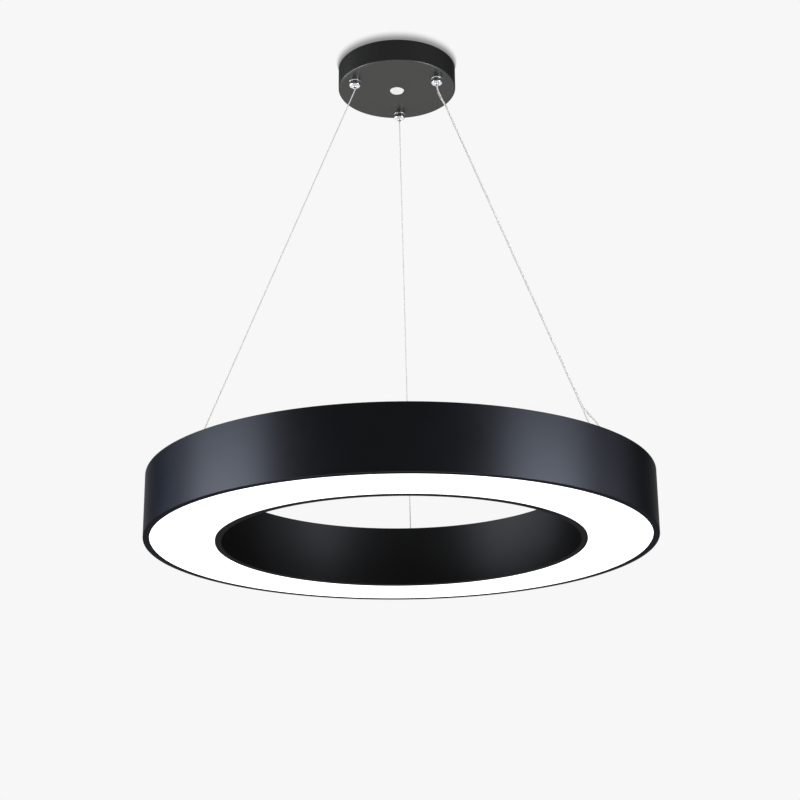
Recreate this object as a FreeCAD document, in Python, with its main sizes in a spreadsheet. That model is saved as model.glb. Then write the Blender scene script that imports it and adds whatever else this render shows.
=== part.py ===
# Ring pendant: a square-section ring lamp hung from a round ceiling canopy by three splayed steel wires.
# Z points up and the origin is on the ceiling, at the middle of the two slots of the ceiling bracket.
# All lengths are millimetres and all angles are degrees.

import FreeCAD, Part
import math
import os
import re
import Sketcher

SIZES = [
    # Overall layout
    ("canopy_radius", 75, "outside radius of the ceiling canopy"),
    ("canopy_height", 30, "ceiling to the canopy's underside"),
    ("drop", 600, "canopy's underside to the ring's underside"),
    ("ring_radius", 300, "outside radius of the ring"),
    ("ring_width", 90, "ring's outside to its central hole"),
    ("band_height", 75, "height of the ring"),
    ("gripper_inset", 15, "canopy's outside to the three wire grippers"),
    ("anchor_inset", 42, "ring's outside to the three wire anchors"),
    ("rear_angle", 90, "azimuth of the rear wire"),
    ("left_angle", 210, "azimuth of the left wire"),
    ("right_angle", 330, "azimuth of the right wire"),
    # Canopy cup
    ("canopy_wall", 1.2, "sheet of the cup"),
    ("canopy_edge_round", 2.4, "outside round of the cup's lower edge"),
    ("plug_hole_radius", 6, "central hole of the cup"),
    ("hole_gap", 0.2, "radial room round what passes through a sheet"),
    ("side_screw_depth", 8, "ceiling to the axis of the two side screws"),
    ("side_screw_radius", 2, "M4 set screws that hold the cup"),
    ("side_screw_length", 8, "length of a set screw"),
    ("side_screw_sunk", 0.3, "how far a set screw's end sits below the cup's wall"),
    ("socket_reach", 1.2, "centre to corner of the hexagon socket"),
    ("socket_depth", 2, "depth of the hexagon socket"),
    ("thread_gap", 0.05, "radial room of a screwed fit"),
    # Ceiling bracket
    ("bracket_sheet", 1.5, "sheet of the bracket"),
    ("ear_gap", 1.8, "turned-down ear to the cup's wall"),
    ("bracket_width", 20, "width of both arms"),
    ("bracket_bend", 2, "outside radius of the ears' bends"),
    ("ear_depth", 14, "ceiling to the lower end of an ear"),
    ("slot_margin", 5, "slot to the end of its arm"),
    ("slot_spacing", 100, "between the centres of the two slots"),
    ("slot_length", 14, "end to end"),
    ("slot_radius", 2.3, "half the slot's width"),
    ("earth_screw_place", 33, "centre to the earth screw"),
    ("earth_screw_radius", 2, "M4"),
    ("earth_head_radius", 3.6, "head of the earth screw"),
    ("earth_head_height", 2.4, "head of the earth screw"),
    ("earth_washer_radius", 4.6, "cupped washer under the head"),
    ("earth_washer_sheet", 0.8, "cupped washer"),
    # Driver
    ("driver_to_ear", 6.5, "left ear to the driver's flange"),
    ("driver_to_block", 2.5, "terminal block to the driver's flange"),
    ("driver_half_width", 17, "half width of the case"),
    ("driver_floor_gap", 10.5, "canopy's underside to the case"),
    ("driver_corner", 3, "round of the case's upright corners"),
    ("driver_lid_depth", 5, "lower edge of the case up to the lid's joint"),
    ("driver_groove", 0.6, "width and depth of the joint between case and lid"),
    ("flange_length", 8, "screw flange at each end of the driver"),
    ("flange_sheet", 2, "thickness of the flanges"),
    ("flange_half_width", 10, "half width of the flanges"),
    ("small_screw_radius", 1.5, "M3 screws of the driver and the terminal block"),
    ("small_head_radius", 2.8, "their heads"),
    ("small_head_height", 1.8, "their heads"),
    # Terminal block
    ("block_to_ear", 9, "right ear to the terminal block"),
    ("block_depth", 17, "length of the wire ways"),
    ("block_pitch", 8, "between two poles"),
    ("block_end", 5, "outer pole's axis to the block's end"),
    ("block_floor_gap", 15.5, "canopy's underside to the terminal block"),
    ("way_radius", 1.7, "wire ways"),
    ("terminal_radius", 2, "holes of the clamping screws"),
    ("terminal_hole_depth", 5.2, "holes of the clamping screws, into the wire ways"),
    ("terminal_inset", 4.2, "block's face to the clamping screws"),
    ("terminal_screw_sunk", 0.8, "how deep the clamping screws sit"),
    ("terminal_screw_length", 3, "clamping screws"),
    ("block_waist", 1.6, "depth of the grooves between two poles"),
    # Blanking plug
    ("plug_head_radius", 9, "head of the white blanking plug"),
    ("plug_head_height", 1.6, "head of the plug"),
    ("plug_head_edge", 1.2, "slope of the head's rim"),
    ("plug_wall", 1.2, "wall of the plug's legs"),
    ("plug_rise", 5, "legs above the canopy's sheet"),
    ("plug_barb", 0.6, "barb of the legs"),
    ("plug_slit", 1.6, "slits between the legs"),
    # Wire gripper
    ("barrel_radius", 7, "chromed barrel of a gripper"),
    ("barrel_height", 9, "canopy's underside to the barrel's lower face"),
    ("barrel_edge", 1, "bevel of the barrel's lower edge"),
    ("barrel_floor", 2, "lower wall of the barrel"),
    ("barrel_groove", 0.5, "turned groove round the barrel"),
    ("barrel_groove_place", 2.2, "canopy's underside to the groove"),
    ("cone_foot_radius", 2.45, "narrow end of the gripping cone"),
    ("cone_top_radius", 3.4, "wide end of the gripping cone"),
    ("stem_radius", 5, "M10 stem through the canopy"),
    ("stem_engage", 3, "how far the stem screws into the barrel"),
    ("stem_rise", 9, "stem above the canopy's underside"),
    ("stem_cap", 2, "upper wall of the stem"),
    ("chamber_radius", 3.2, "spring chamber in the stem"),
    ("nozzle_radius", 1.9, "release nozzle"),
    ("nozzle_gap", 0.15, "nozzle in the barrel's floor"),
    ("nozzle_showing", 3.5, "nozzle below the barrel"),
    ("nozzle_edge", 0.4, "bevel of the nozzle's end"),
    ("cage_radius", 2.3, "ball cage on the nozzle"),
    ("cage_drop", 1.5, "canopy's underside down to the cage's top"),
    ("seat_gap", 0.1, "cage above the barrel's floor at rest"),
    ("ball_radius", 0.9, "steel balls"),
    ("ball_gap", 0.15, "ball to wire"),
    ("ball_hole_gap", 0.1, "ball in the cage"),
    ("ball_drop", 4.6, "canopy's underside down to the balls"),
    ("spring_inner", 1.3, "release spring"),
    ("spring_outer", 2.2, "release spring"),
    ("nut_reach", 8.1, "centre to corner of the M10 thin nut"),
    ("nut_height", 4, "M10 thin nut"),
    ("washer_radius", 8, "washer under the nut"),
    ("washer_sheet", 1, "washer under the nut"),
    # Suspension wires
    ("wire_radius", 0.75, "steel wire rope"),
    ("wire_bore", 1.0, "radius of every bore that a wire runs through"),
    ("wire_bend", 8, "radius of a wire's bend at a nozzle and at an anchor"),
    ("wire_lead", 0.4, "straight wire between a mouth and its bend"),
    ("wire_tail", 18, "wire above the canopy's underside"),
    ("stop_radius", 1.6, "crimped stop on a wire's tail"),
    ("stop_length", 5, "crimped stop on a wire's tail"),
    # Ring bands and cover
    ("band_wall", 1.5, "wall of the bands"),
    ("lip_width", 7.5, "lip under the diffuser's edge, wall included"),
    ("lip_thickness", 2, "lip"),
    ("edge_bevel", 0.8, "bevel of the bands' lower outer corners"),
    ("cover_sheet", 1.5, "top cover"),
    ("cover_gap", 0.3, "top cover to the bands"),
    ("cover_screw_inset", 14, "band to the cover screws"),
    ("cover_screw_radius", 2, "M4 cover and tray screws"),
    ("cover_head_radius", 3.8, "their heads"),
    ("cover_head_height", 2.2, "their heads"),
    ("cover_screw_length", 7, "cover and tray screws under the head"),
    # Cross braces and LED tray
    ("brace_count", 6, "cross braces, and LED boards"),
    ("brace_width", 20, "width of a brace"),
    ("brace_sheet", 1.5, "sheet of a brace"),
    ("brace_gap", 0.3, "brace to the bands"),
    ("brace_foot", 12, "turned-in foot under the tray screws"),
    ("tray_height", 34.5, "ring's underside to the tray's underside"),
    ("tray_sheet", 1.2, "sheet of the tray"),
    ("tray_gap", 2.5, "tray to the bands"),
    ("tray_rim", 6, "depth of the tray's turned-down rims"),
    ("tray_screw_inset", 8.5, "band to the tray screws"),
    ("board_inset", 28, "both bands' visible faces to the LED boards"),
    ("board_sheet", 1.6, "LED board"),
    ("board_angle", 58, "arc of one LED board"),
    ("chip_count", 8, "pairs of LED chips on one board"),
    ("chip_inset", 7, "board's edge to the middle of a chip row"),
    ("chip_length", 3.5, "LED chip"),
    ("chip_width", 2.8, "LED chip"),
    ("chip_height", 0.8, "LED chip"),
    ("plug_block_length", 12, "connector on an LED board"),
    ("plug_block_width", 7, "connector on an LED board"),
    ("plug_block_height", 5, "connector on an LED board"),
    ("plug_block_way", 2.4, "the connector's square wire ways"),
    ("plug_block_way_depth", 4, "the connector's wire ways"),
    # Diffuser
    ("diffuser_gap", 0.8, "shadow gap between lip and diffuser"),
    ("diffuser_recess", 0.4, "diffuser's face above the ring's underside"),
    ("diffuser_seat", 4, "how far the diffuser lies over a lip"),
    ("diffuser_edge", 1.5, "thickness of the diffuser over the lips"),
    # Wire anchors on the ring
    ("anchor_height", 7, "anchor above the cover"),
    ("anchor_neck", 2.6, "upper end of the anchor"),
    ("anchor_flange_radius", 7, "flange on the cover"),
    ("anchor_flange_sheet", 2.5, "flange on the cover"),
    ("anchor_shank_radius", 4, "M8 shank"),
    ("anchor_shank_length", 11, "shank below the cover's top"),
    ("anchor_cup_radius", 2.8, "cup of the wire's end ferrule"),
    ("anchor_cup_drop", 3, "cover's top down to the cup"),
    ("anchor_nut_reach", 7.5, "M8 nut"),
    ("anchor_nut_height", 5, "M8 nut"),
    ("ferrule_radius", 2.4, "end ferrule of a wire"),
    ("ferrule_length", 6, "end ferrule of a wire"),
    ("ferrule_gap", 0.3, "ferrule under the cup's shoulder"),
    # Clear power cable, its bushes and its connectors
    ("cable_radius", 1.2, "clear power cable"),
    ("cable_gap", 0.15, "radial room of the cable in its bushes"),
    ("cable_beside", 2.3, "cable's axis to the wire's axis where they run together"),
    ("cable_lead", 14, "straight cable below its bush"),
    ("cable_foot", 18, "straight cable above its gland"),
    ("cable_joins", 25, "bend of the right wire to where the cable joins it"),
    ("cable_leaves", 40, "where the cable leaves the right wire to its lower bend"),
    ("grommet_inward", 6, "how much nearer the axis the cable's bush is than the right gripper"),
    ("grommet_beside", 10.4, "right gripper's axis sideways to the cable's bush"),
    ("grommet_hole_radius", 2.4, "hole of the bush in the canopy"),
    ("grommet_flange", 1.2, "how far the bush's flanges reach past its hole"),
    ("grommet_sheet", 1, "flanges of the bush"),
    ("gland_beside", 18, "right anchor's axis sideways to the cable gland on the ring"),
    ("gland_flange_radius", 6.5, "gland's flange"),
    ("gland_flange_sheet", 2, "gland's flange"),
    ("gland_height", 8, "gland above the cover"),
    ("gland_tip_radius", 2.6, "gland's upper end"),
    ("gland_shank_radius", 4, "M8 shank of the gland"),
    ("gland_shank_length", 9, "shank below the cover's top"),
    ("gland_nut_height", 4, "nut of the gland"),
    ("cable_rise", 3, "cable above the canopy's underside"),
    ("cable_fall", 14, "cable below the cover's top"),
    ("connector_half", 2.6, "half width of the cable's connectors"),
    ("connector_length", 12, "cable's connectors"),
    ("connector_groove", 0.5, "joint between the connector's halves"),
]

doc = FreeCAD.newDocument("RingPendant")
sheet = doc.addObject("Spreadsheet::Sheet", "Sizes")
for row, (alias, number, note) in enumerate(SIZES, start=1):
    sheet.set(f"A{row}", alias)
    sheet.set(f"B{row}", str(number))
    sheet.set(f"C{row}", note)
    sheet.setAlias(f"B{row}", alias)
doc.recompute()

ALIASES = {alias for alias, number, note in SIZES}
SIDES = ("rear", "left", "right")
CABLE_ARC_SHARE = 0.45
pieces = []


def size(alias):
    """The number that the sheet holds under a name."""
    return float(sheet.get(alias))


def bind(thing, target, formula):
    """Ties a property to a formula of named sizes."""
    named = re.sub(r"[a-z][a-z_]+", lambda word: ("Sizes." if word[0] in ALIASES else "") + word[0], formula)
    thing.setExpression(target, named)


def new_body(label, x="0", y="0", z="0", turn=None, many=False):
    """An empty body at a place given in named sizes; many lets it hold several separate solids."""
    body = doc.addObject("PartDesign::Body", label)
    body.Label = label
    body.AllowCompound = many
    if turn is not None:
        body.Placement = FreeCAD.Placement(FreeCAD.Vector(), FreeCAD.Rotation(FreeCAD.Vector(0, 0, 1), 1))
        bind(body, "Placement.Rotation.Angle", turn)
    for axis, formula in zip("xyz", (x, y, z)):
        bind(body, f"Placement.Base.{axis}", formula)
    pieces.append(body)
    return body


def origin_part(body, role):
    return next(part for part in body.Origin.OriginFeatures if part.Role == role)


def new_sketch(body, role, x="0", y="0", z="0"):
    """A sketch on one of the body's own planes, shifted along the sketch's own axes."""
    sketch = body.newObject("Sketcher::SketchObject", "Sketch")
    sketch.AttachmentSupport = [(origin_part(body, role), "")]
    sketch.MapMode = "FlatFace"
    for axis, formula in zip("xyz", (x, y, z)):
        bind(sketch, f"AttachmentOffset.Base.{axis}", formula)
    return sketch


def pin_point(sketch, geometry, point, start, x, y):
    """Holds one point of a sketch at a place given in named sizes."""
    for kind, now, formula in (("DistanceX", start.x, x), ("DistanceY", start.y, y)):
        row = sketch.addConstraint(Sketcher.Constraint(kind, -1, 1, geometry, point, now))
        bind(sketch, f"Constraints[{row}]", formula)


def outline(sketch, corners):
    """A closed outline of straight edges through corners given in named sizes."""
    count = len(corners)
    starts = [FreeCAD.Vector(math.cos(math.tau * i / count), math.sin(math.tau * i / count), 0)
              for i in range(count)]
    first = sketch.GeometryCount
    edges = [Part.LineSegment(starts[i], starts[(i + 1) % count]) for i in range(count)]
    sketch.addGeometry(edges, False)
    sketch.addConstraint([Sketcher.Constraint("Coincident", first + i, 2, first + (i + 1) % count, 1)
                          for i in range(count)])
    for i, (x, y) in enumerate(corners):
        pin_point(sketch, first + i, 1, starts[i], x, y)


def rectangle(sketch, left, right, low, high):
    outline(sketch, [(left, low), (right, low), (right, high), (left, high)])


def circle(sketch, radius, x="0", y="0"):
    """A full circle, its middle and radius given in named sizes."""
    middle = FreeCAD.Vector(1, 1, 0)
    round_edge = sketch.addGeometry(Part.Circle(middle, FreeCAD.Vector(0, 0, 1), 1), False)
    pin_point(sketch, round_edge, 3, middle, x, y)
    row = sketch.addConstraint(Sketcher.Constraint("Radius", round_edge, 1))
    bind(sketch, f"Constraints[{row}]", radius)


def polygon(sketch, reach, x="0", y="0"):
    """A hexagon, its corners at reach from the middle."""
    outline(sketch, [(f"{x} + {reach} * cos({60 * i})", f"{y} + {reach} * sin({60 * i})") for i in range(6)])


def revolve(body, sketch, angle="360"):
    """Turns a profile about the sketch's upright axis."""
    turned = body.newObject("PartDesign::Revolution", "Turned")
    turned.Profile = sketch
    turned.ReferenceAxis = (sketch, ["V_Axis"])
    bind(turned, "Angle", angle)
    turned.Midplane = True
    return turned


def pad(body, sketch, length, midplane=False, down=False):
    raised = body.newObject("PartDesign::Pad", "Raised")
    raised.Profile = sketch
    bind(raised, "Length", length)
    raised.Midplane = midplane
    raised.Reversed = down
    return raised


def cut_through(body, sketch):
    """Cuts a profile through the whole piece, both ways from its sketch."""
    cut = body.newObject("PartDesign::Pocket", "CutThrough")
    cut.Profile = sketch
    cut.Type = "ThroughAll"
    cut.Midplane = True
    return cut


def cut_into(body, sketch, depth, towards_normal=False):
    """Cuts a profile to a depth, against the sketch's normal unless towards_normal."""
    cut = body.newObject("PartDesign::Pocket", "CutInto")
    cut.Profile = sketch
    bind(cut, "Length", depth)
    cut.Reversed = towards_normal
    return cut


def ring_of(body, features, count, angle="360"):
    """Repeats features about the body's Z axis."""
    pattern = body.newObject("PartDesign::PolarPattern", "RingOf")
    pattern.Originals = features
    pattern.Axis = (origin_part(body, "Z_Axis"), [""])
    bind(pattern, "Angle", angle)
    bind(pattern, "Occurrences", count)
    body.Tip = pattern
    return pattern


def turned_piece(label, corners, **place):
    """A turned piece on its own upright axis."""
    body = new_body(label, **place)
    sketch = new_sketch(body, "XZ_Plane")
    outline(sketch, corners)
    revolve(body, sketch)
    return body


def turned_group(label, corners, radius, count, **place):
    """Equal turned pieces on a circle about the lamp's axis, as one group of separate solids."""
    body = new_body(label, many=True, **place)
    sketch = new_sketch(body, "XZ_Plane", x=radius)
    outline(sketch, corners)
    ring_of(body, [revolve(body, sketch)], count)
    return body


def round_edges(body, radius, wanted):
    """Rounds the edges of the body's last shape whose middle passes the test wanted."""
    doc.recompute()
    base = body.Tip
    names = [f"Edge{i}" for i, edge in enumerate(base.Shape.Edges, start=1) if wanted(edge)]
    rounded = body.newObject("PartDesign::Fillet", "Rounded")
    rounded.Base = (base, names)
    bind(rounded, "Radius", radius)
    return rounded


def near(one, other):
    """True where two lengths agree to a thousandth of the ring's wall."""
    return abs(one - other) < size("band_wall") / 1000


def is_circle_at(edge, radius, height):
    """True for a round edge about the body's Z axis with that radius and height."""
    curve = edge.Curve
    return isinstance(curve, Part.Circle) and near(curve.Radius, radius) and near(curve.Center.z, height)


def polar(radius, angle, beside="0"):
    """Where a piece stands that lies at a radius and an azimuth, moved sideways by beside."""
    return {"x": f"({radius}) * cos({angle}) - ({beside}) * sin({angle})",
            "y": f"({radius}) * sin({angle}) + ({beside}) * cos({angle})"}


CANOPY_UNDERSIDE = "-canopy_height"
RING_UNDERSIDE = "-canopy_height - drop"
RING_TOP = "-canopy_height - drop + band_height"
HOLE_RADIUS = "(ring_radius - ring_width)"
ANCHOR_RADIUS = "(ring_radius - anchor_inset)"
GRIPPER_RADIUS = "(canopy_radius - gripper_inset)"
GROMMET_RADIUS = "(canopy_radius - gripper_inset - grommet_inward)"
BETWEEN_WIRES = "180 / 3"
DRIVER_HEIGHT = "(canopy_height - bracket_sheet - driver_floor_gap)"
BLOCK_HEIGHT = "(canopy_height - bracket_sheet - block_floor_gap)"
EAR_REACH = "(canopy_radius - canopy_wall - ear_gap)"
BLOCK_FACE = f"({EAR_REACH} - bracket_sheet - block_to_ear - block_depth)"
DRIVER_LEFT = f"(-{EAR_REACH} + bracket_sheet + driver_to_ear + flange_length)"
DRIVER_RIGHT = f"({BLOCK_FACE} - driver_to_block - flange_length)"
DRIVER_SCREWS = (f"{DRIVER_LEFT} - flange_length / 2", f"{DRIVER_RIGHT} + flange_length / 2")


# Ceiling bracket: a cross of sheet steel, ears turned down at the ends of one arm, slots in the other
def ceiling_bracket():
    body = new_body("ceiling_bracket")
    arm = new_sketch(body, "XZ_Plane")
    inside = f"({EAR_REACH} - bracket_sheet)"
    outline(arm, [(f"-{EAR_REACH}", "-ear_depth"), (f"-{EAR_REACH}", "0"), (EAR_REACH, "0"),
                  (EAR_REACH, "-ear_depth"), (inside, "-ear_depth"), (inside, "-bracket_sheet"),
                  (f"-{inside}", "-bracket_sheet"), (f"-{inside}", "-ear_depth")])
    pad(body, arm, "bracket_width", midplane=True)
    reach = size("canopy_radius") - size("canopy_wall") - size("ear_gap")
    sheet_size = size("bracket_sheet")

    def outside_bend(edge):
        middle = edge.CenterOfMass
        return near(abs(middle.x), reach) and near(middle.z, 0)

    def inside_bend(edge):
        middle = edge.CenterOfMass
        return near(abs(middle.x), reach - sheet_size) and near(middle.z, -sheet_size)

    round_edges(body, "bracket_bend", outside_bend)
    round_edges(body, "bracket_bend - bracket_sheet", inside_bend)
    cross = new_sketch(body, "XY_Plane")
    arm_reach = "(slot_spacing / 2 + slot_length / 2 + slot_margin)"
    rectangle(cross, "-bracket_width / 2", "bracket_width / 2", f"-{arm_reach}", arm_reach)
    pad(body, cross, "bracket_sheet", down=True)
    holes = new_sketch(body, "XY_Plane")
    for end in ("-slot_spacing / 2", "slot_spacing / 2"):
        rectangle(holes, "-slot_radius", "slot_radius", f"{end} - slot_length / 2 + slot_radius",
                  f"{end} + slot_length / 2 - slot_radius")
    circle(holes, "earth_screw_radius + thread_gap", "0", "-earth_screw_place")
    for x in DRIVER_SCREWS:
        circle(holes, "small_screw_radius + thread_gap", x)
    circle(holes, "small_screw_radius + thread_gap", f"{BLOCK_FACE} + block_depth / 2", "block_pitch / 2")
    cut_through(body, holes)
    for end in ("-slot_spacing / 2", "slot_spacing / 2"):
        for side in ("- slot_length / 2 + slot_radius", "+ slot_length / 2 - slot_radius"):
            round_end = new_sketch(body, "XY_Plane")
            circle(round_end, "slot_radius", "0", f"{end} {side}")
            cut_through(body, round_end)
    ears = new_sketch(body, "YZ_Plane")
    circle(ears, "side_screw_radius + thread_gap", "0", "-side_screw_depth")
    cut_through(body, ears)


# Canopy cup: a deep-drawn steel cup, open to the ceiling, that carries the grippers in its floor
def canopy_cup():
    body = turned_piece("canopy_cup", [
        ("canopy_radius", "0"), ("canopy_radius", "-canopy_height"), ("0", "-canopy_height"),
        ("0", "canopy_wall - canopy_height"), ("canopy_radius - canopy_wall", "canopy_wall - canopy_height"),
        ("canopy_radius - canopy_wall", "0")])
    radius, height, wall = size("canopy_radius"), size("canopy_height"), size("canopy_wall")
    round_edges(body, "canopy_edge_round", lambda edge: is_circle_at(edge, radius, -height))
    round_edges(body, "canopy_edge_round - canopy_wall",
                lambda edge: is_circle_at(edge, radius - wall, wall - height))
    floor_holes = new_sketch(body, "XY_Plane")
    circle(floor_holes, "plug_hole_radius")
    for side in SIDES:
        spot = polar(GRIPPER_RADIUS, f"{side}_angle")
        circle(floor_holes, "stem_radius + hole_gap", spot["x"], spot["y"])
    spot = polar(GROMMET_RADIUS, "right_angle", "grommet_beside")
    circle(floor_holes, "grommet_hole_radius", spot["x"], spot["y"])
    cut_through(body, floor_holes)
    wall_holes = new_sketch(body, "YZ_Plane")
    circle(wall_holes, "side_screw_radius + hole_gap", "0", "-side_screw_depth")
    cut_through(body, wall_holes)


# Set screws through the cup's wall into the bracket's ears
def canopy_side_screws():
    body = new_body("canopy_side_screws", z="-side_screw_depth", many=True)
    end = new_sketch(body, "YZ_Plane", z="canopy_radius - side_screw_sunk")
    circle(end, "side_screw_radius")
    shank = pad(body, end, "side_screw_length", down=True)
    socket = new_sketch(body, "YZ_Plane", z="canopy_radius - side_screw_sunk")
    polygon(socket, "socket_reach")
    recess = cut_into(body, socket, "socket_depth")
    ring_of(body, [shank, recess], "2")


# LED driver: a plastic case with a lid joint and a screw flange at each end, under the bracket
def led_driver():
    body = new_body("led_driver", z="-bracket_sheet")
    case = new_sketch(body, "XY_Plane")
    rectangle(case, DRIVER_LEFT, DRIVER_RIGHT, "-driver_half_width", "driver_half_width")
    pad(body, case, DRIVER_HEIGHT, down=True)
    height = size("canopy_height") - size("bracket_sheet") - size("driver_floor_gap")
    round_edges(body, "driver_corner", lambda edge: near(edge.Length, height))
    flanges = new_sketch(body, "XY_Plane")
    rectangle(flanges, f"{DRIVER_LEFT} - flange_length", f"{DRIVER_RIGHT} + flange_length",
              "-flange_half_width", "flange_half_width")
    pad(body, flanges, "flange_sheet", down=True)
    holes = new_sketch(body, "XY_Plane")
    for x in DRIVER_SCREWS:
        circle(holes, "small_screw_radius + hole_gap", x)
    cut_through(body, holes)
    joint = new_sketch(body, "XY_Plane", z=f"driver_lid_depth - {DRIVER_HEIGHT}")
    rectangle(joint, f"{DRIVER_LEFT} - driver_corner", f"{DRIVER_RIGHT} + driver_corner",
              "-driver_half_width - driver_corner", "driver_half_width + driver_corner")
    left, right = f"{DRIVER_LEFT} + driver_groove", f"{DRIVER_RIGHT} - driver_groove"
    left_corner, right_corner = f"{DRIVER_LEFT} + driver_corner", f"{DRIVER_RIGHT} - driver_corner"
    outline(joint, [(left, "driver_corner - driver_half_width"),
                    (left_corner, "driver_groove - driver_half_width"),
                    (right_corner, "driver_groove - driver_half_width"),
                    (right, "driver_corner - driver_half_width"),
                    (right, "driver_half_width - driver_corner"),
                    (right_corner, "driver_half_width - driver_groove"),
                    (left_corner, "driver_half_width - driver_groove"),
                    (left, "driver_half_width - driver_corner")])
    cut_into(body, joint, "driver_groove")


# Screws of the driver and the terminal block: heads below, shanks up into the bracket
def bracket_screws():
    body = new_body("bracket_screws", z="-bracket_sheet", many=True)
    places = [(x, "0", "flange_sheet") for x in DRIVER_SCREWS]
    places.append((f"{BLOCK_FACE} + block_depth / 2", "block_pitch / 2", BLOCK_HEIGHT))
    for x, y, held in places:
        profile = new_sketch(body, "XZ_Plane", x=x, z=f"-({y})")
        outline(profile, [("0", f"-{held} - small_head_height"),
                          ("small_head_radius", f"-{held} - small_head_height"),
                          ("small_head_radius", f"-{held}"), ("small_screw_radius", f"-{held}"),
                          ("small_screw_radius", "bracket_sheet"), ("0", "bracket_sheet")])
        revolve(body, profile)


# Terminal block for the supply: three poles in a row, ways along X and clamping screws from below
def terminal_block():
    body = new_body("terminal_block", x=BLOCK_FACE, z="-bracket_sheet")
    case = new_sketch(body, "XY_Plane")
    rectangle(case, "0", "block_depth", "-block_pitch - block_end", "block_pitch + block_end")
    pad(body, case, BLOCK_HEIGHT, down=True)
    for middle in ("-block_pitch / 2", "block_pitch / 2"):
        groove = new_sketch(body, "XZ_Plane", z=f"-({middle})")
        for near_face, far_face in (("-block_waist", "block_waist"),
                                    ("block_depth - block_waist", "block_depth + block_waist")):
            rectangle(groove, near_face, far_face, f"-{BLOCK_HEIGHT} - block_waist", "block_waist")
        cut = body.newObject("PartDesign::Pocket", "Waist")
        cut.Profile = groove
        bind(cut, "Length", "block_waist")
        cut.Midplane = True
    ways = new_sketch(body, "YZ_Plane")
    for pole in ("-block_pitch", "0", "block_pitch"):
        circle(ways, "way_radius", pole, f"-{BLOCK_HEIGHT} / 2")
    cut_through(body, ways)
    clamps = new_sketch(body, "XY_Plane", z=f"-{BLOCK_HEIGHT}")
    for pole in ("-block_pitch", "0", "block_pitch"):
        for x in ("terminal_inset", "block_depth - terminal_inset"):
            circle(clamps, "terminal_radius", x, pole)
    cut_into(body, clamps, "terminal_hole_depth", towards_normal=True)
    fixing = new_sketch(body, "XY_Plane")
    circle(fixing, "small_screw_radius + hole_gap", "block_depth / 2", "block_pitch / 2")
    cut_through(body, fixing)


# Brass clamping screws of the terminal block
def terminal_screws():
    body = new_body("terminal_screws", x=BLOCK_FACE, z="-bracket_sheet", many=True)
    shanks = new_sketch(body, "XY_Plane", z=f"terminal_screw_sunk - {BLOCK_HEIGHT}")
    for pole in ("-block_pitch", "0", "block_pitch"):
        for x in ("terminal_inset", "block_depth - terminal_inset"):
            circle(shanks, "terminal_radius - hole_gap", x, pole)
    pad(body, shanks, "terminal_screw_length")


# Earth screw with its cupped washer, under the slotted arm
def earth_screw():
    turned_piece("earth_screw", [
        ("0", "-earth_washer_sheet - earth_head_height"),
        ("earth_head_radius", "-earth_washer_sheet - earth_head_height"),
        ("earth_head_radius", "-earth_washer_sheet"), ("earth_washer_radius", "-earth_washer_sheet"),
        ("earth_washer_radius", "0"), ("earth_screw_radius", "0"),
        ("earth_screw_radius", "bracket_sheet"), ("0", "bracket_sheet")],
        y="-earth_screw_place", z="-bracket_sheet")


# White blanking plug: a shallow head under the canopy and four barbed legs through its central hole
def centre_plug():
    body = turned_piece("centre_plug", [
        ("0", "-plug_head_height"), ("plug_head_radius - plug_head_edge", "-plug_head_height"),
        ("plug_head_radius", "0"), ("plug_hole_radius - hole_gap", "0"),
        ("plug_hole_radius - hole_gap", "canopy_wall + hole_gap"),
        ("plug_hole_radius + plug_barb", "canopy_wall + hole_gap"),
        ("plug_hole_radius - plug_barb", "canopy_wall + plug_rise"),
        ("plug_hole_radius - hole_gap - plug_wall", "canopy_wall + plug_rise"),
        ("plug_hole_radius - hole_gap - plug_wall", "0"), ("0", "0")],
        z=CANOPY_UNDERSIDE)
    slits = new_sketch(body, "XY_Plane")
    rectangle(slits, "-plug_head_radius", "plug_head_radius", "-plug_slit / 2", "plug_slit / 2")
    cut = cut_into(body, slits, "canopy_wall + plug_rise + plug_slit", towards_normal=True)
    ring_of(body, [cut], "2", angle="180")


# Wire gripper: a chromed barrel whose inside cone wedges three balls against the wire
def gripper_barrel(side):
    turned_piece(f"gripper_barrel_{side}", [
        ("barrel_radius", "0"), ("barrel_radius", "-barrel_groove_place"),
        ("barrel_radius - barrel_groove", "-barrel_groove_place - barrel_groove"),
        ("barrel_radius", "-barrel_groove_place - 2 * barrel_groove"),
        ("barrel_radius", "barrel_edge - barrel_height"), ("barrel_radius - barrel_edge", "-barrel_height"),
        ("nozzle_radius + nozzle_gap", "-barrel_height"),
        ("nozzle_radius + nozzle_gap", "barrel_floor - barrel_height"),
        ("cone_foot_radius", "barrel_floor - barrel_height"), ("cone_top_radius", "-stem_engage"),
        ("stem_radius + thread_gap", "-stem_engage"), ("stem_radius + thread_gap", "0")],
        z=CANOPY_UNDERSIDE, **polar(GRIPPER_RADIUS, f"{side}_angle"))


# The gripper's stem screws into the barrel through the canopy's floor and holds the spring
def gripper_stem(side):
    turned_piece(f"gripper_stem_{side}", [
        ("chamber_radius", "-stem_engage"), ("stem_radius", "-stem_engage"), ("stem_radius", "stem_rise"),
        ("wire_bore", "stem_rise"), ("wire_bore", "stem_rise - stem_cap"),
        ("chamber_radius", "stem_rise - stem_cap")],
        z=CANOPY_UNDERSIDE, **polar(GRIPPER_RADIUS, f"{side}_angle"))


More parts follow.
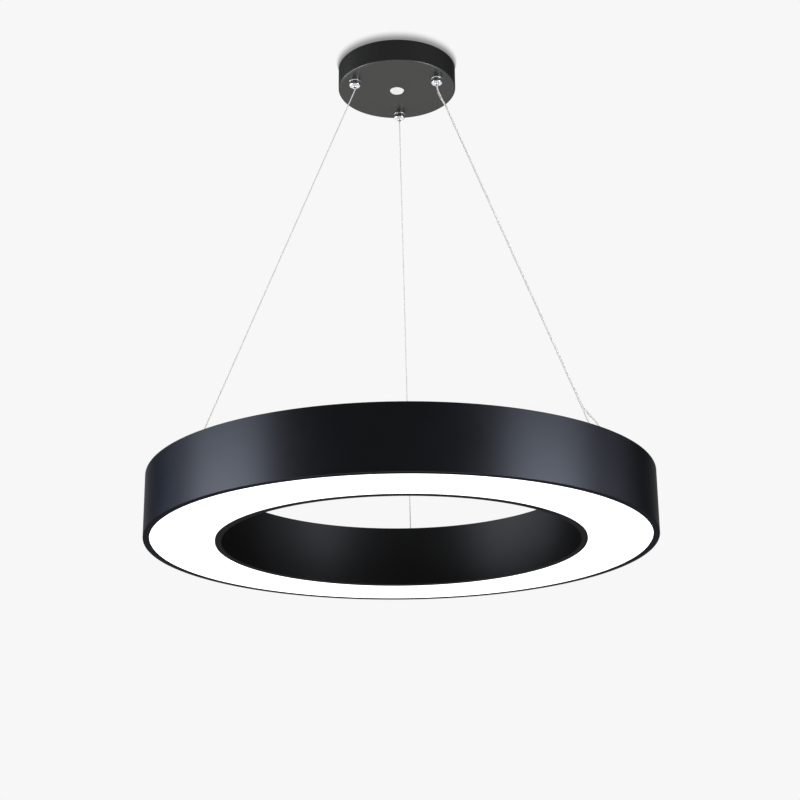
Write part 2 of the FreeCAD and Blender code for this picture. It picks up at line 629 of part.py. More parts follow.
# Release nozzle and ball cage in one piece: pushed up, it lifts the balls out of the cone
def release_nozzle(side):
    body = turned_piece(f"release_nozzle_{side}", [
        ("wire_bore", "-barrel_height - nozzle_showing"),
        ("nozzle_radius - nozzle_edge", "-barrel_height - nozzle_showing"),
        ("nozzle_radius", "nozzle_edge - barrel_height - nozzle_showing"),
        ("nozzle_radius", "seat_gap + barrel_floor - barrel_height"),
        ("cage_radius", "seat_gap + barrel_floor - barrel_height"),
        ("cage_radius", "-cage_drop"), ("wire_bore", "-cage_drop")],
        z=CANOPY_UNDERSIDE, **polar(GRIPPER_RADIUS, f"{side}_angle"))
    window = new_sketch(body, "YZ_Plane")
    circle(window, "ball_radius + ball_hole_gap", "0", "-ball_drop")
    ring_of(body, [cut_into(body, window, "2 * cage_radius", towards_normal=True)], "3")


def gripper_balls(side):
    body = new_body(f"gripper_balls_{side}", z=f"{CANOPY_UNDERSIDE} - ball_drop", many=True,
                    **polar(GRIPPER_RADIUS, f"{side}_angle"))
    half = new_sketch(body, "XZ_Plane", x="wire_radius + ball_gap + ball_radius")
    ends = [FreeCAD.Vector(0, -1, 0), FreeCAD.Vector(1, 0, 0), FreeCAD.Vector(0, 1, 0)]
    arc = half.addGeometry(Part.Arc(*ends), False)
    line = half.addGeometry(Part.LineSegment(ends[2], ends[0]), False)
    half.addConstraint([Sketcher.Constraint("Coincident", arc, 2, line, 1),
                        Sketcher.Constraint("Coincident", line, 2, arc, 1),
                        Sketcher.Constraint("Coincident", arc, 3, -1, 1),
                        Sketcher.Constraint("PointOnObject", arc, 1, -2),
                        Sketcher.Constraint("PointOnObject", arc, 2, -2)])
    row = half.addConstraint(Sketcher.Constraint("Radius", arc, 1))
    bind(half, f"Constraints[{row}]", "ball_radius")
    ring_of(body, [revolve(body, half)], "3")


def release_spring(side):
    turned_piece(f"release_spring_{side}", [
        ("spring_inner", "-cage_drop"), ("spring_outer", "-cage_drop"),
        ("spring_outer", "stem_rise - stem_cap"), ("spring_inner", "stem_rise - stem_cap")],
        z=CANOPY_UNDERSIDE, **polar(GRIPPER_RADIUS, f"{side}_angle"))


def gripper_washers():
    turned_group("gripper_washers", [
        ("stem_radius + hole_gap", "canopy_wall"), ("washer_radius", "canopy_wall"),
        ("washer_radius", "canopy_wall + washer_sheet"),
        ("stem_radius + hole_gap", "canopy_wall + washer_sheet")],
        GRIPPER_RADIUS, "3", z=CANOPY_UNDERSIDE, turn="rear_angle")


def nut_group(label, radius, reach, bore, foot, height, count, **place):
    """Hexagon nuts on a circle about the lamp's axis."""
    body = new_body(label, many=True, **place)
    face = new_sketch(body, "XY_Plane", x=radius, z=foot)
    polygon(face, reach)
    circle(face, bore)
    ring_of(body, [pad(body, face, height)], count)


# Wire tails: the wires inside their grippers, with swaged stops that keep them from running out
def wire_tail_stops():
    mouth = "-barrel_height - nozzle_showing"
    turned_group("wire_tail_stops", [
        ("0", mouth), ("wire_radius", mouth), ("wire_radius", "wire_tail - stop_length"),
        ("stop_radius", "wire_tail - stop_length"), ("stop_radius", "wire_tail"), ("0", "wire_tail")],
        GRIPPER_RADIUS, "3", z=CANOPY_UNDERSIDE, turn="rear_angle")


def bent_path(points, radii):
    """Straight runs through points, joined by tangent arcs of the given radii."""
    edges, start = [], points[0]
    for before, corner, after, radius in zip(points, points[1:], points[2:], radii):
        back, ahead = (before - corner).normalize(), (after - corner).normalize()
        turn = math.pi - back.getAngle(ahead)
        reach = radius * math.tan(turn / 2)
        middle = corner + (back + ahead).normalize() * (radius / math.cos(turn / 2) - radius)
        arc = Part.Arc(corner + back * reach, middle, corner + ahead * reach)
        edges += [Part.LineSegment(start, arc.StartPoint).toShape(), arc.toShape()]
        start = arc.EndPoint
    edges.append(Part.LineSegment(start, points[-1]).toShape())
    return Part.Wire(edges)


def tube(label, points, radii, radius):
    """A round cord along a bent path; its volume is printed beside section times length."""
    path = bent_path(points, radii)
    along = (points[1] - points[0]).normalize()
    section = Part.Wire(Part.Circle(points[0], along, radius).toShape())
    piece = doc.addObject("Part::Feature", label)
    piece.Label = label
    piece.Shape = path.makePipeShell([section], True, False)
    pieces.append(piece)
    share = piece.Shape.Volume / (math.pi * radius ** 2 * path.Length)
    rounded = [round(bend, 1) for bend in radii]
    print(f"{label}: length {path.Length:.1f}, radii {rounded}, volume share {share:.4f}")
    return piece


def side_frame(side):
    """Unit vectors outwards, sideways and up at one wire, as a placement about the lamp's axis."""
    return FreeCAD.Rotation(FreeCAD.Vector(0, 0, 1), size(f"{side}_angle"))


def wire_mouths():
    """Where a wire leaves its nozzle and enters its anchor, as radius and height."""
    ring_top = size("band_height") - size("canopy_height") - size("drop")
    return (FreeCAD.Vector(size("canopy_radius") - size("gripper_inset"), 0,
                           -size("canopy_height") - size("barrel_height") - size("nozzle_showing")),
            FreeCAD.Vector(size("ring_radius") - size("anchor_inset"), 0, ring_top + size("anchor_height")))


def wire_corners():
    """Where the straight runs of a wire meet below its nozzle and above its anchor."""
    upper, lower = wire_mouths()
    turn = (lower - upper).getAngle(FreeCAD.Vector(0, 0, -1))
    reach = FreeCAD.Vector(0, 0, size("wire_bend") * math.tan(turn / 2) + size("wire_lead"))
    return upper - reach, lower + reach


# Suspension wires: the free stretches between the grippers' mouths and the anchors' mouths
def suspension_wire(side):
    upper, lower = wire_corners()
    mouths = wire_mouths()
    turn = side_frame(side)
    points = [turn.multVec(point) for point in (mouths[0], upper, lower, mouths[1])]
    tube(f"suspension_wire_{side}", points, [size("wire_bend")] * 2, size("wire_radius"))


# Clear power cable: out of its bush in the canopy, close beside the right wire, into its gland on the ring
def power_cable():
    upper, lower = wire_corners()
    run = (lower - upper).normalize()
    beside = FreeCAD.Vector(0, size("cable_beside"), 0)
    up = FreeCAD.Vector(0, 0, 1)
    bush = FreeCAD.Vector(size("canopy_radius") - size("gripper_inset") - size("grommet_inward"),
                          size("grommet_beside"), -size("canopy_height") - size("grommet_sheet"))
    ring_top = size("band_height") - size("canopy_height") - size("drop")
    gland = FreeCAD.Vector(size("ring_radius") - size("anchor_inset"), size("gland_beside"),
                           ring_top + size("gland_height"))
    points = [bush, bush - up * size("cable_lead"),
              upper + run * size("cable_joins") + beside,
              lower - run * size("cable_leaves") + beside,
              gland + up * size("cable_foot"), gland]
    radii = []
    for before, corner, after in zip(points, points[1:], points[2:]):
        turn = math.pi - (before - corner).getAngle(after - corner)
        shorter = min((before - corner).Length, (after - corner).Length)
        radii.append(CABLE_ARC_SHARE * shorter / math.tan(turn / 2))
    turn = side_frame("right")
    tube("power_cable", [turn.multVec(point) for point in points], radii, size("cable_radius"))


# Rubber bush of the cable in the canopy's floor, a flange on each side of the sheet
def cable_grommet():
    turned_piece("cable_grommet", [
        ("cable_radius + cable_gap", "-grommet_sheet"),
        ("grommet_hole_radius + grommet_flange / 2", "-grommet_sheet"),
        ("grommet_hole_radius + grommet_flange", "0"), ("grommet_hole_radius", "0"),
        ("grommet_hole_radius", "canopy_wall"), ("grommet_hole_radius + grommet_flange", "canopy_wall"),
        ("grommet_hole_radius + grommet_flange", "canopy_wall + grommet_sheet"),
        ("cable_radius + cable_gap", "canopy_wall + grommet_sheet")],
        z=CANOPY_UNDERSIDE, **polar(GROMMET_RADIUS, "right_angle", "grommet_beside"))


def cable_connector(label, stub, downwards, **place):
    """A two-part inline connector with the cable's end in it: the stub points the other way."""
    body = new_body(label, turn="right_angle", **place)
    sign = "-" if downwards else ""
    case = new_sketch(body, "XY_Plane")
    rectangle(case, "-connector_half", "connector_half", "-connector_half", "connector_half")
    pad(body, case, "connector_length", down=downwards)
    joint = new_sketch(body, "XY_Plane", z=f"{sign}connector_length / 2")
    rectangle(joint, "-2 * connector_half", "2 * connector_half", "-2 * connector_half", "2 * connector_half")
    rectangle(joint, "connector_groove - connector_half", "connector_half - connector_groove",
              "connector_groove - connector_half", "connector_half - connector_groove")
    cut_into(body, joint, "connector_groove")
    cable_end = new_sketch(body, "XY_Plane")
    circle(cable_end, "cable_radius")
    pad(body, cable_end, stub, down=not downwards)


# Outer band: a rolled wall with a lip turned in under the diffuser
def outer_band():
    turned_piece("outer_band", [
        ("ring_radius", "edge_bevel"), ("ring_radius", "band_height"),
        ("ring_radius - band_wall", "band_height"), ("ring_radius - band_wall", "lip_thickness"),
        ("ring_radius - lip_width", "lip_thickness"), ("ring_radius - lip_width", "0"),
        ("ring_radius - edge_bevel", "0")], z=RING_UNDERSIDE)


# Inner band: the same wall and lip round the central hole
def inner_band():
    turned_piece("inner_band", [
        (HOLE_RADIUS, "edge_bevel"), (f"{HOLE_RADIUS} + edge_bevel", "0"),
        (f"{HOLE_RADIUS} + lip_width", "0"), (f"{HOLE_RADIUS} + lip_width", "lip_thickness"),
        (f"{HOLE_RADIUS} + band_wall", "lip_thickness"), (f"{HOLE_RADIUS} + band_wall", "band_height"),
        (HOLE_RADIUS, "band_height")], z=RING_UNDERSIDE)


COVER_SCREW_RADII = (f"({HOLE_RADIUS} + band_wall + cover_screw_inset)",
                     "(ring_radius - band_wall - cover_screw_inset)")
TRAY_SCREW_RADIUS = "(ring_radius - band_wall - tray_screw_inset)"
BOARD_INNER = f"({HOLE_RADIUS} + board_inset)"
BOARD_OUTER = "(ring_radius - board_inset)"


# Top cover: a flat ring between the bands, on the braces
def top_cover():
    inner, outer = f"{HOLE_RADIUS} + band_wall + cover_gap", "ring_radius - band_wall - cover_gap"
    body = turned_piece("top_cover", [
        (inner, "-cover_sheet"), (outer, "-cover_sheet"), (outer, "0"), (inner, "0")],
        z=RING_TOP, turn="rear_angle")
    fixings = new_sketch(body, "XY_Plane")
    circle(fixings, "anchor_shank_radius + hole_gap", ANCHOR_RADIUS)
    for radius in COVER_SCREW_RADII:
        spot = polar(radius, BETWEEN_WIRES)
        circle(fixings, "cover_screw_radius + hole_gap", spot["x"], spot["y"])
    ring_of(body, [cut_through(body, fixings)], "3")
    gland = new_sketch(body, "XY_Plane")
    spot = polar(ANCHOR_RADIUS, "(right_angle - rear_angle)", "gland_beside")
    circle(gland, "gland_shank_radius + hole_gap", spot["x"], spot["y"])
    cut_through(body, gland)


# Cross braces: hat-shaped strips that tie the bands together, under the cover and over the tray
def cross_braces():
    body = new_body("cross_braces", z=RING_UNDERSIDE, turn="rear_angle", many=True)
    inner, outer = f"{HOLE_RADIUS} + band_wall + brace_gap", "ring_radius - band_wall - brace_gap"
    low, high = "tray_height + tray_sheet", "band_height - cover_sheet"
    hat = new_sketch(body, "XZ_Plane")
    outline(hat, [(inner, low), (f"{inner} + brace_foot", low),
                  (f"{inner} + brace_foot", f"{low} + brace_sheet"),
                  (f"{inner} + brace_sheet", f"{low} + brace_sheet"),
                  (f"{inner} + brace_sheet", f"{high} - brace_sheet"),
                  (f"{outer} - brace_sheet", f"{high} - brace_sheet"),
                  (f"{outer} - brace_sheet", f"{low} + brace_sheet"),
                  (f"{outer} - brace_foot", f"{low} + brace_sheet"), (f"{outer} - brace_foot", low),
                  (outer, low), (outer, high), (inner, high)])
    strip = pad(body, hat, "brace_width", midplane=True)
    foot_hole = new_sketch(body, "XY_Plane", z=low)
    circle(foot_hole, "cover_screw_radius + thread_gap", TRAY_SCREW_RADIUS)
    cut = cut_into(body, foot_hole, "brace_sheet", towards_normal=True)
    ring_of(body, [strip, cut], "brace_count")
    fixings = new_sketch(body, "XY_Plane", z=f"{high} - brace_sheet")
    circle(fixings, "anchor_shank_radius + hole_gap", ANCHOR_RADIUS)
    for radius in COVER_SCREW_RADII:
        spot = polar(radius, BETWEEN_WIRES)
        circle(fixings, "cover_screw_radius + thread_gap", spot["x"], spot["y"])
    ring_of(body, [cut_into(body, fixings, "brace_sheet", towards_normal=True)], "3")


# LED tray: a flat sheet-metal ring with turned-down rims, screwed under the braces' feet
def led_tray():
    inner, outer = f"{HOLE_RADIUS} + band_wall + tray_gap", "ring_radius - band_wall - tray_gap"
    body = turned_piece("led_tray", [
        (inner, "tray_sheet"), (inner, "-tray_rim"), (f"{inner} + tray_sheet", "-tray_rim"),
        (f"{inner} + tray_sheet", "0"), (f"{outer} - tray_sheet", "0"),
        (f"{outer} - tray_sheet", "-tray_rim"),
        (outer, "-tray_rim"), (outer, "tray_sheet")],
        z=f"{RING_UNDERSIDE} + tray_height", turn="rear_angle")
    hole = new_sketch(body, "XY_Plane")
    circle(hole, "cover_screw_radius + hole_gap", TRAY_SCREW_RADIUS)
    ring_of(body, [cut_through(body, hole)], "brace_count")


def led_boards():
    body = new_body("led_boards", z=f"{RING_UNDERSIDE} + tray_height", turn="rear_angle", many=True)
    section = new_sketch(body, "XZ_Plane")
    rectangle(section, BOARD_INNER, BOARD_OUTER, "-board_sheet", "0")
    ring_of(body, [revolve(body, section, "board_angle")], "brace_count")


def led_chips():
    body = new_body("led_chips", z=f"{RING_UNDERSIDE} + tray_height - board_sheet", many=True,
                    turn="rear_angle + 180 / (brace_count * chip_count)")
    rows = new_sketch(body, "XY_Plane")
    for middle in (f"{BOARD_INNER} + chip_inset", f"{BOARD_OUTER} - chip_inset"):
        rectangle(rows, f"{middle} - chip_length / 2", f"{middle} + chip_length / 2",
                  "-chip_width / 2", "chip_width / 2")
    ring_of(body, [pad(body, rows, "chip_height", down=True)], "brace_count * chip_count")


def board_connectors():
    body = new_body("board_connectors", z=f"{RING_UNDERSIDE} + tray_height - board_sheet", turn="rear_angle",
                    many=True)
    middle = f"({BOARD_INNER} + {BOARD_OUTER}) / 2"
    case = new_sketch(body, "XY_Plane")
    rectangle(case, f"{middle} - plug_block_width / 2", f"{middle} + plug_block_width / 2",
              "-plug_block_length / 2", "plug_block_length / 2")
    block = pad(body, case, "plug_block_height", down=True)
    ways = new_sketch(body, "XZ_Plane", z="-plug_block_length / 2")
    for low in (f"{middle} - plug_block_width / 2 + plug_block_way / 3",
                f"{middle} + plug_block_width / 2 - plug_block_way / 3 - plug_block_way"):
        rectangle(ways, low, f"{low} + plug_block_way", "-(plug_block_height + plug_block_way) / 2",
                  "-(plug_block_height - plug_block_way) / 2")
    cut = cut_into(body, ways, "plug_block_way_depth", towards_normal=True)
    ring_of(body, [block, cut], "brace_count")


def headed_screws(label, spots, count, up, **place):
    """Pan-head screws on circles: the heads stand up or hang down, the shanks point the other way."""
    body = new_body(label, many=True, turn="rear_angle", **place)
    head, shank = ("cover_head_height", "-cover_screw_length") if up else ("-cover_head_height",
                                                                           "cover_screw_length")
    screws = []
    for spot in spots:
        profile = new_sketch(body, "XZ_Plane", x=spot["x"], z=f"-({spot['y']})")
        outline(profile, [("0", head), ("cover_head_radius", head), ("cover_head_radius", "0"),
                          ("cover_screw_radius", "0"), ("cover_screw_radius", shank), ("0", shank)])
        screws.append(revolve(body, profile))
    ring_of(body, screws, count)


# Opal diffuser: a flat ring whose thinner edges lie on the lips and whose face drops between them
def diffuser():
    inner, outer = f"{HOLE_RADIUS} + lip_width", "ring_radius - lip_width"
    turned_piece("diffuser", [
        (f"{inner} + diffuser_gap", "diffuser_recess"), (f"{outer} - diffuser_gap", "diffuser_recess"),
        (f"{outer} - diffuser_gap", "lip_thickness"), (f"{outer} + diffuser_seat", "lip_thickness"),
        (f"{outer} + diffuser_seat", "lip_thickness + diffuser_edge"),
        (f"{inner} - diffuser_seat", "lip_thickness + diffuser_edge"),
        (f"{inner} - diffuser_seat", "lip_thickness"), (f"{inner} + diffuser_gap", "lip_thickness")],
        z=RING_UNDERSIDE)


# Wire anchors: turned nipples on the cover, each with a cup that holds the wire's end ferrule
def wire_anchors():
    turned_group("wire_anchors", [
        ("wire_bore", "anchor_height"), ("anchor_neck", "anchor_height"),
        ("anchor_flange_radius", "anchor_flange_sheet"), ("anchor_flange_radius", "0"),
        ("anchor_shank_radius", "0"), ("anchor_shank_radius", "-anchor_shank_length"),
        ("anchor_cup_radius", "-anchor_shank_length"), ("anchor_cup_radius", "-anchor_cup_drop"),
        ("wire_bore", "-anchor_cup_drop")],
        ANCHOR_RADIUS, "3", z=RING_TOP, turn="rear_angle")


# Wire ends: the wires inside their anchors, with swaged ferrules held in the anchors' cups
def wire_end_ferrules():
    top = "-anchor_cup_drop - ferrule_gap"
    turned_group("wire_end_ferrules", [
        ("0", "anchor_height"), ("wire_radius", "anchor_height"), ("wire_radius", top),
        ("ferrule_radius", top), ("ferrule_radius", f"{top} - ferrule_length"),
        ("0", f"{top} - ferrule_length")],
        ANCHOR_RADIUS, "3", z=RING_TOP, turn="rear_angle")


# Cable gland on the ring: a tapered nose that guides the clear cable through the cover
def cable_gland():
    turned_piece("cable_gland", [
        ("cable_radius + cable_gap", "gland_height"), ("gland_tip_radius", "gland_height"),
        ("gland_shank_radius", "gland_flange_sheet"), ("gland_flange_radius", "gland_flange_sheet"),
        ("gland_flange_radius", "0"), ("gland_shank_radius", "0"),
        ("gland_shank_radius", "-gland_shank_length"),
        ("cable_radius + cable_gap", "-gland_shank_length")],
        z=RING_TOP, **polar(ANCHOR_RADIUS, "right_angle", "gland_beside"))


def make_canopy():
    ceiling_bracket()
    canopy_cup()
    canopy_side_screws()
    led_driver()
    bracket_screws()
    terminal_block()
    terminal_screws()
    earth_screw()
    centre_plug()
    for side in SIDES:
        gripper_barrel(side)
        gripper_stem(side)
        release_nozzle(side)
        gripper_balls(side)
        release_spring(side)
        suspension_wire(side)
    gripper_washers()
    nut_group("gripper_nuts", GRIPPER_RADIUS, "nut_reach", "stem_radius + thread_gap",
              "canopy_wall + washer_sheet", "nut_height", "3", z=CANOPY_UNDERSIDE, turn="rear_angle")
    wire_tail_stops()
    power_cable()
    cable_grommet()
    cable_connector("driver_connector", "cable_rise + grommet_sheet", False,
                    z=f"{CANOPY_UNDERSIDE} + cable_rise",
                    **polar(GROMMET_RADIUS, "right_angle", "grommet_beside"))


def make_ring():
    outer_band()
    inner_band()
    top_cover()
    headed_screws("cover_screws", [polar(radius, BETWEEN_WIRES) for radius in COVER_SCREW_RADII], "3", True,
                  z=RING_TOP)
    cross_braces()
    led_tray()
    headed_screws("tray_screws", [polar(TRAY_SCREW_RADIUS, "0")], "brace_count", False,
                  z=f"{RING_UNDERSIDE} + tray_height")
    led_boards()
    led_chips()
    board_connectors()
    diffuser()
    wire_anchors()
    nut_group("anchor_nuts", ANCHOR_RADIUS, "anchor_nut_reach", "anchor_shank_radius + thread_gap",
              "-cover_sheet - brace_sheet - anchor_nut_height", "anchor_nut_height", "3",
              z=RING_TOP, turn="rear_angle")
    wire_end_ferrules()
    cable_gland()
    nut_group("gland_nut", "0", "anchor_nut_reach", "gland_shank_radius + thread_gap",
              "-cover_sheet - gland_nut_height", "gland_nut_height", "1",
              z=RING_TOP, **polar(ANCHOR_RADIUS, "right_angle", "gland_beside"))
    cable_connector("ring_connector", "cable_fall + gland_height", True, z=f"{RING_TOP} - cable_fall",
                    **polar(ANCHOR_RADIUS, "right_angle", "gland_beside"))


def check_and_write():
    doc.recompute()
    for thing in doc.Objects:
        if {"Invalid", "Error"} & set(thing.State):
            raise RuntimeError(f"{thing.Name} ({thing.Label}) failed: {thing.State}")
    for piece in pieces:
        if piece.Shape.isNull() or not piece.Shape.isValid() or not piece.Shape.Solids:
            raise RuntimeError(f"{piece.Label} has no valid solid")
    os.makedirs("parts", exist_ok=True)
    for piece in pieces:
        piece.Shape.exportStep(f"parts/{piece.Label}.step")
        print(f"{piece.Label}: {len(piece.Shape.Solids)} solids, {piece.Shape.Volume:.1f} mm3")


make_canopy()
make_ring()
check_and_write()
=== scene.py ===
import bmesh
import bpy
import numpy as np
from mathutils import Matrix, Vector
from mathutils.geometry import delaunay_2d_cdt


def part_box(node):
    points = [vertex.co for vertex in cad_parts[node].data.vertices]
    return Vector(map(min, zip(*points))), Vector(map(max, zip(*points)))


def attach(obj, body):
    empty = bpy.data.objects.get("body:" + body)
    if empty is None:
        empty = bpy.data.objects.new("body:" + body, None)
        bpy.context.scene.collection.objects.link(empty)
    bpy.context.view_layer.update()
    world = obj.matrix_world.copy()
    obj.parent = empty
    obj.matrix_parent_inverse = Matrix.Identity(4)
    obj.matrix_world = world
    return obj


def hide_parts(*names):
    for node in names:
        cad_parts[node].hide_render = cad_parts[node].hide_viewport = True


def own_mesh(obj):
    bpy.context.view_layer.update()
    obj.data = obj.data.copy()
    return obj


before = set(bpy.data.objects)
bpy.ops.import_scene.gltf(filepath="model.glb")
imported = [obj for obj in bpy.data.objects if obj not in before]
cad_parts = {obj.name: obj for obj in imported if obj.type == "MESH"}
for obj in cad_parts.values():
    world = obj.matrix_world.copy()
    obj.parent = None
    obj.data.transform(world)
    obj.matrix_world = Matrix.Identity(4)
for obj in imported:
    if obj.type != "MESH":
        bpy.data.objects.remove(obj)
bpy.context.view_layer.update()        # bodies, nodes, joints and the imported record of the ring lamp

mm = 0.001
sides = {"rear": 90, "left": 210, "right": 330}        # azimuth of each wire in degrees
print("frame loaded with", len(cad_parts), "nodes")


# Mesh maths

mergeWithin = 1e-7       # metres between points that count as one


# Angles once round, without the last one that would repeat the first.
def fullTurn(columns):
    return np.linspace(0, 2 * np.pi, columns, endpoint=False)


def polar(radius, degrees, height=0.0):
    return np.array([radius * np.cos(np.radians(degrees)), radius * np.sin(np.radians(degrees)), height])


# Points centre + (radius * cos(angle), radius * sin(angle), height).
def roundGrid(radius, angle, height, centre=(0, 0, 0)):
    return np.stack([centre[0] + radius * np.cos(angle), centre[1] + radius * np.sin(angle),
                     centre[2] + height + 0 * radius * angle], axis=-1)


def smoothStep(value):
    value = np.clip(value, 0, 1)
    return value * value * (3 - 2 * value)


# Points given outwards, sideways and up in the frame of the side at an azimuth.
def inSideFrame(points, degrees):
    return points @ np.array([polar(1, degrees), polar(1, degrees + 90), (0, 0, 1)])


def linked(name, data):
    made = bpy.data.objects.new(name, data)
    bpy.context.scene.collection.objects.link(made)
    return made


# Merges doubled points, drops the faces that this leaves without area and turns the rest outwards.
def tidyMesh(mesh, distance, flatten=None):
    work = bmesh.new()
    work.from_mesh(mesh)
    bmesh.ops.remove_doubles(work, verts=work.verts, dist=distance)
    if flatten:
        bmesh.ops.dissolve_limit(work, angle_limit=flatten, verts=work.verts, edges=work.edges)
    bmesh.ops.recalc_face_normals(work, faces=work.faces)
    work.to_mesh(mesh)
    work.free()


# A grid's quads, numbered row by row. A closed direction joins its last line to its first.
def gridFaces(rows, columns, closeRows, closeColumns):
    row = np.arange(rows if closeRows else rows - 1)[:, None]
    column = np.arange(columns if closeColumns else columns - 1)[None, :]
    nextRow, nextColumn = (row + 1) % rows, (column + 1) % columns
    corners = [row * columns + column, row * columns + nextColumn,
               nextRow * columns + nextColumn, nextRow * columns + column]
    return np.stack([corner + 0 * row * column for corner in corners], axis=-1).reshape(-1, 4)


# One mesh from several grids of points and, where it has some, flat sheets of triangles. Doubled points at
# poles, ends and joins are merged and the faces turned outwards. Edges over sharp degrees stay sharp.
def meshFromGrids(name, grids, sharp=38, sheets=()):
    points, faces = [], []
    for grid, closeRows, closeColumns in grids:
        faces += (gridFaces(*grid.shape[:2], closeRows, closeColumns) + len(points)).tolist()
        points += grid.reshape(-1, 3).tolist()
    for sheetPoints, sheetTriangles in sheets:
        faces += (sheetTriangles + len(points)).tolist()
        points += sheetPoints.tolist()
    mesh = bpy.data.meshes.new(name)
    mesh.from_pydata(points, [], faces)
    tidyMesh(mesh, mergeWithin)
    mesh.shade_smooth()
    mesh.set_sharp_from_angle(angle=np.radians(sharp))
    return linked(name, mesh)


# An outline of straight sides with an arc of its own radius in each corner (radius, height, round).
# Each arc's centre lies on the corner's bisector, round / sin(half the corner's angle) from the corner.
# A support point stands on the straight side just past each end of an arc, so flat faces shade flat.
def filleted(corners, closed=True, steps=6):
    roundShare, spareShare, least = 0.35, 0.3, 1e-9        # a support's distance, and no side is shorter
    spots = np.array([corner[:2] for corner in corners], float)
    rounds = np.array([corner[2] if len(corner) > 2 else 0.0 for corner in corners])
    if not closed:
        rounds[[0, -1]] = 0
    toBefore, toAfter = np.roll(spots, 1, axis=0) - spots, np.roll(spots, -1, axis=0) - spots
    lengthBefore = np.maximum(np.linalg.norm(toBefore, axis=1), least)
    lengthAfter = np.maximum(np.linalg.norm(toAfter, axis=1), least)
    back, ahead = toBefore / lengthBefore[:, None], toAfter / lengthAfter[:, None]
    half = np.arccos(np.clip(np.sum(back * ahead, axis=1), -1, 1)) / 2
    reach = rounds / np.tan(np.maximum(half, 1e-6))
    spareBack = lengthBefore - reach - np.roll(reach, 1)
    spareAhead = lengthAfter - reach - np.roll(reach, -1)
    toBack = reach + np.minimum(roundShare * rounds, spareShare * spareBack)
    toAhead = reach + np.minimum(roundShare * rounds, spareShare * spareAhead)
    share = np.linspace(0, 1, steps + 1)[:, None]
    outline = []
    for i, spot in enumerate(spots):
        if rounds[i] == 0:
            outline.append(spot[None])
            continue
        bisector = (back[i] + ahead[i]) / np.linalg.norm(back[i] + ahead[i])
        centre = spot + bisector * rounds[i] / np.sin(half[i])
        start, end = spot + back[i] * reach[i] - centre, spot + ahead[i] * reach[i] - centre
        turn = np.pi - 2 * half[i]
        arc = centre + (start * np.sin((1 - share) * turn) + end * np.sin(share * turn)) / np.sin(turn)
        outline += [spot[None] + back[i] * toBack[i], arc, spot[None] + ahead[i] * toAhead[i]]
    return np.concatenate(outline)


# The grid of a profile carried round an upright axis.
def turned(profile, centre, columns, closed=True):
    return roundGrid(profile[:, :1], fullTurn(columns)[None, :], profile[:, 1:], centre), closed, True


# The same through part of a turn, its two ends closed towards the profile's middle.
def turnedSector(profile, centre, startAngle, endAngle, columns):
    angle = np.linspace(startAngle, endAngle, columns)
    angle = np.concatenate([angle[:1], angle, angle[-1:]])[None, :]
    inset = np.ones(columns + 2)
    inset[[0, -1]] = 0
    middle = profile.mean(axis=0)
    radius = middle[0] + (profile[:, :1] - middle[0]) * inset
    height = middle[1] + (profile[:, 1:] - middle[1]) * inset
    return roundGrid(radius, angle, height, centre), True, False


def circle(centre, radius, columns):
    return roundGrid(radius, fullTurn(columns), 0, (*centre[:2], 0))[:, :2]


# A flat sheet at a height: the triangles between its round outline and its holes (centre, radius, columns).
def pierced(outline, holes, height):
    loops = [outline] + [circle(*hole) for hole in holes]
    starts = np.cumsum([0] + [len(loop) for loop in loops])
    edges = [(start + i, start + (i + 1) % len(loop)) for start, loop in zip(starts, loops)
             for i in range(len(loop))]
    corners = [Vector(point) for point in np.concatenate(loops)]
    made = delaunay_2d_cdt(corners, edges, [], 0, mergeWithin, False)
    points, triangles = np.array([point[:] for point in made[0]]), np.array(made[2])
    middle = points[triangles].mean(axis=1)
    for centre, radius, columns in holes:
        outside = np.hypot(*(middle - centre[:2]).T) > radius * np.cos(np.pi / columns)
        triangles, middle = triangles[outside], middle[outside]
    return np.column_stack([points, np.full(len(points), height)]), triangles


# The wall of a round hole between two heights.
def holeWall(hole, low, high):
    centre, radius, columns = hole
    return turned(np.array([(radius, low), (radius, high)]), (*centre[:2], 0), columns, False)


# Two unit vectors along a path, square to it: one near sideways, and tangent x that one.
def framesAlong(path, sideways):
    tangent = np.gradient(path, axis=0)
    tangent /= np.linalg.norm(tangent, axis=1)[:, None]
    across = sideways - np.sum(tangent * sideways, axis=1)[:, None] * tangent
    across /= np.linalg.norm(across, axis=1)[:, None]
    return across, np.cross(tangent, across)


# A tube along a path: path + radius * (across * cos(angle) + over * sin(angle)), with closed ends. The
# radius may differ from column to column, and the columns wind round the path by turn.
def tubeAlong(path, across, over, radius, columns, turn=np.zeros(1)):
    angle = fullTurn(columns)[None, :, None] + turn[:, None, None]
    ring = across[:, None, :] * np.cos(angle) + over[:, None, :] * np.sin(angle)
    grid = path[:, None, :] + np.reshape(radius, (1, -1, 1)) * ring
    start, end = (np.tile(path[i], (1, columns, 1)) for i in (0, -1))
    return np.concatenate([start, grid, end]), False, True


# A path with evenly spaced points, read off the straight pieces between the given ones.
def evenly(path, spacing):
    steps = np.linalg.norm(np.diff(path, axis=0), axis=1)
    along = np.concatenate([[0], np.cumsum(steps)])
    wanted = np.linspace(0, along[-1], int(round(along[-1] / spacing)) + 1)
    return np.stack([np.interp(wanted, along, path[:, i]) for i in range(3)], axis=1), wanted


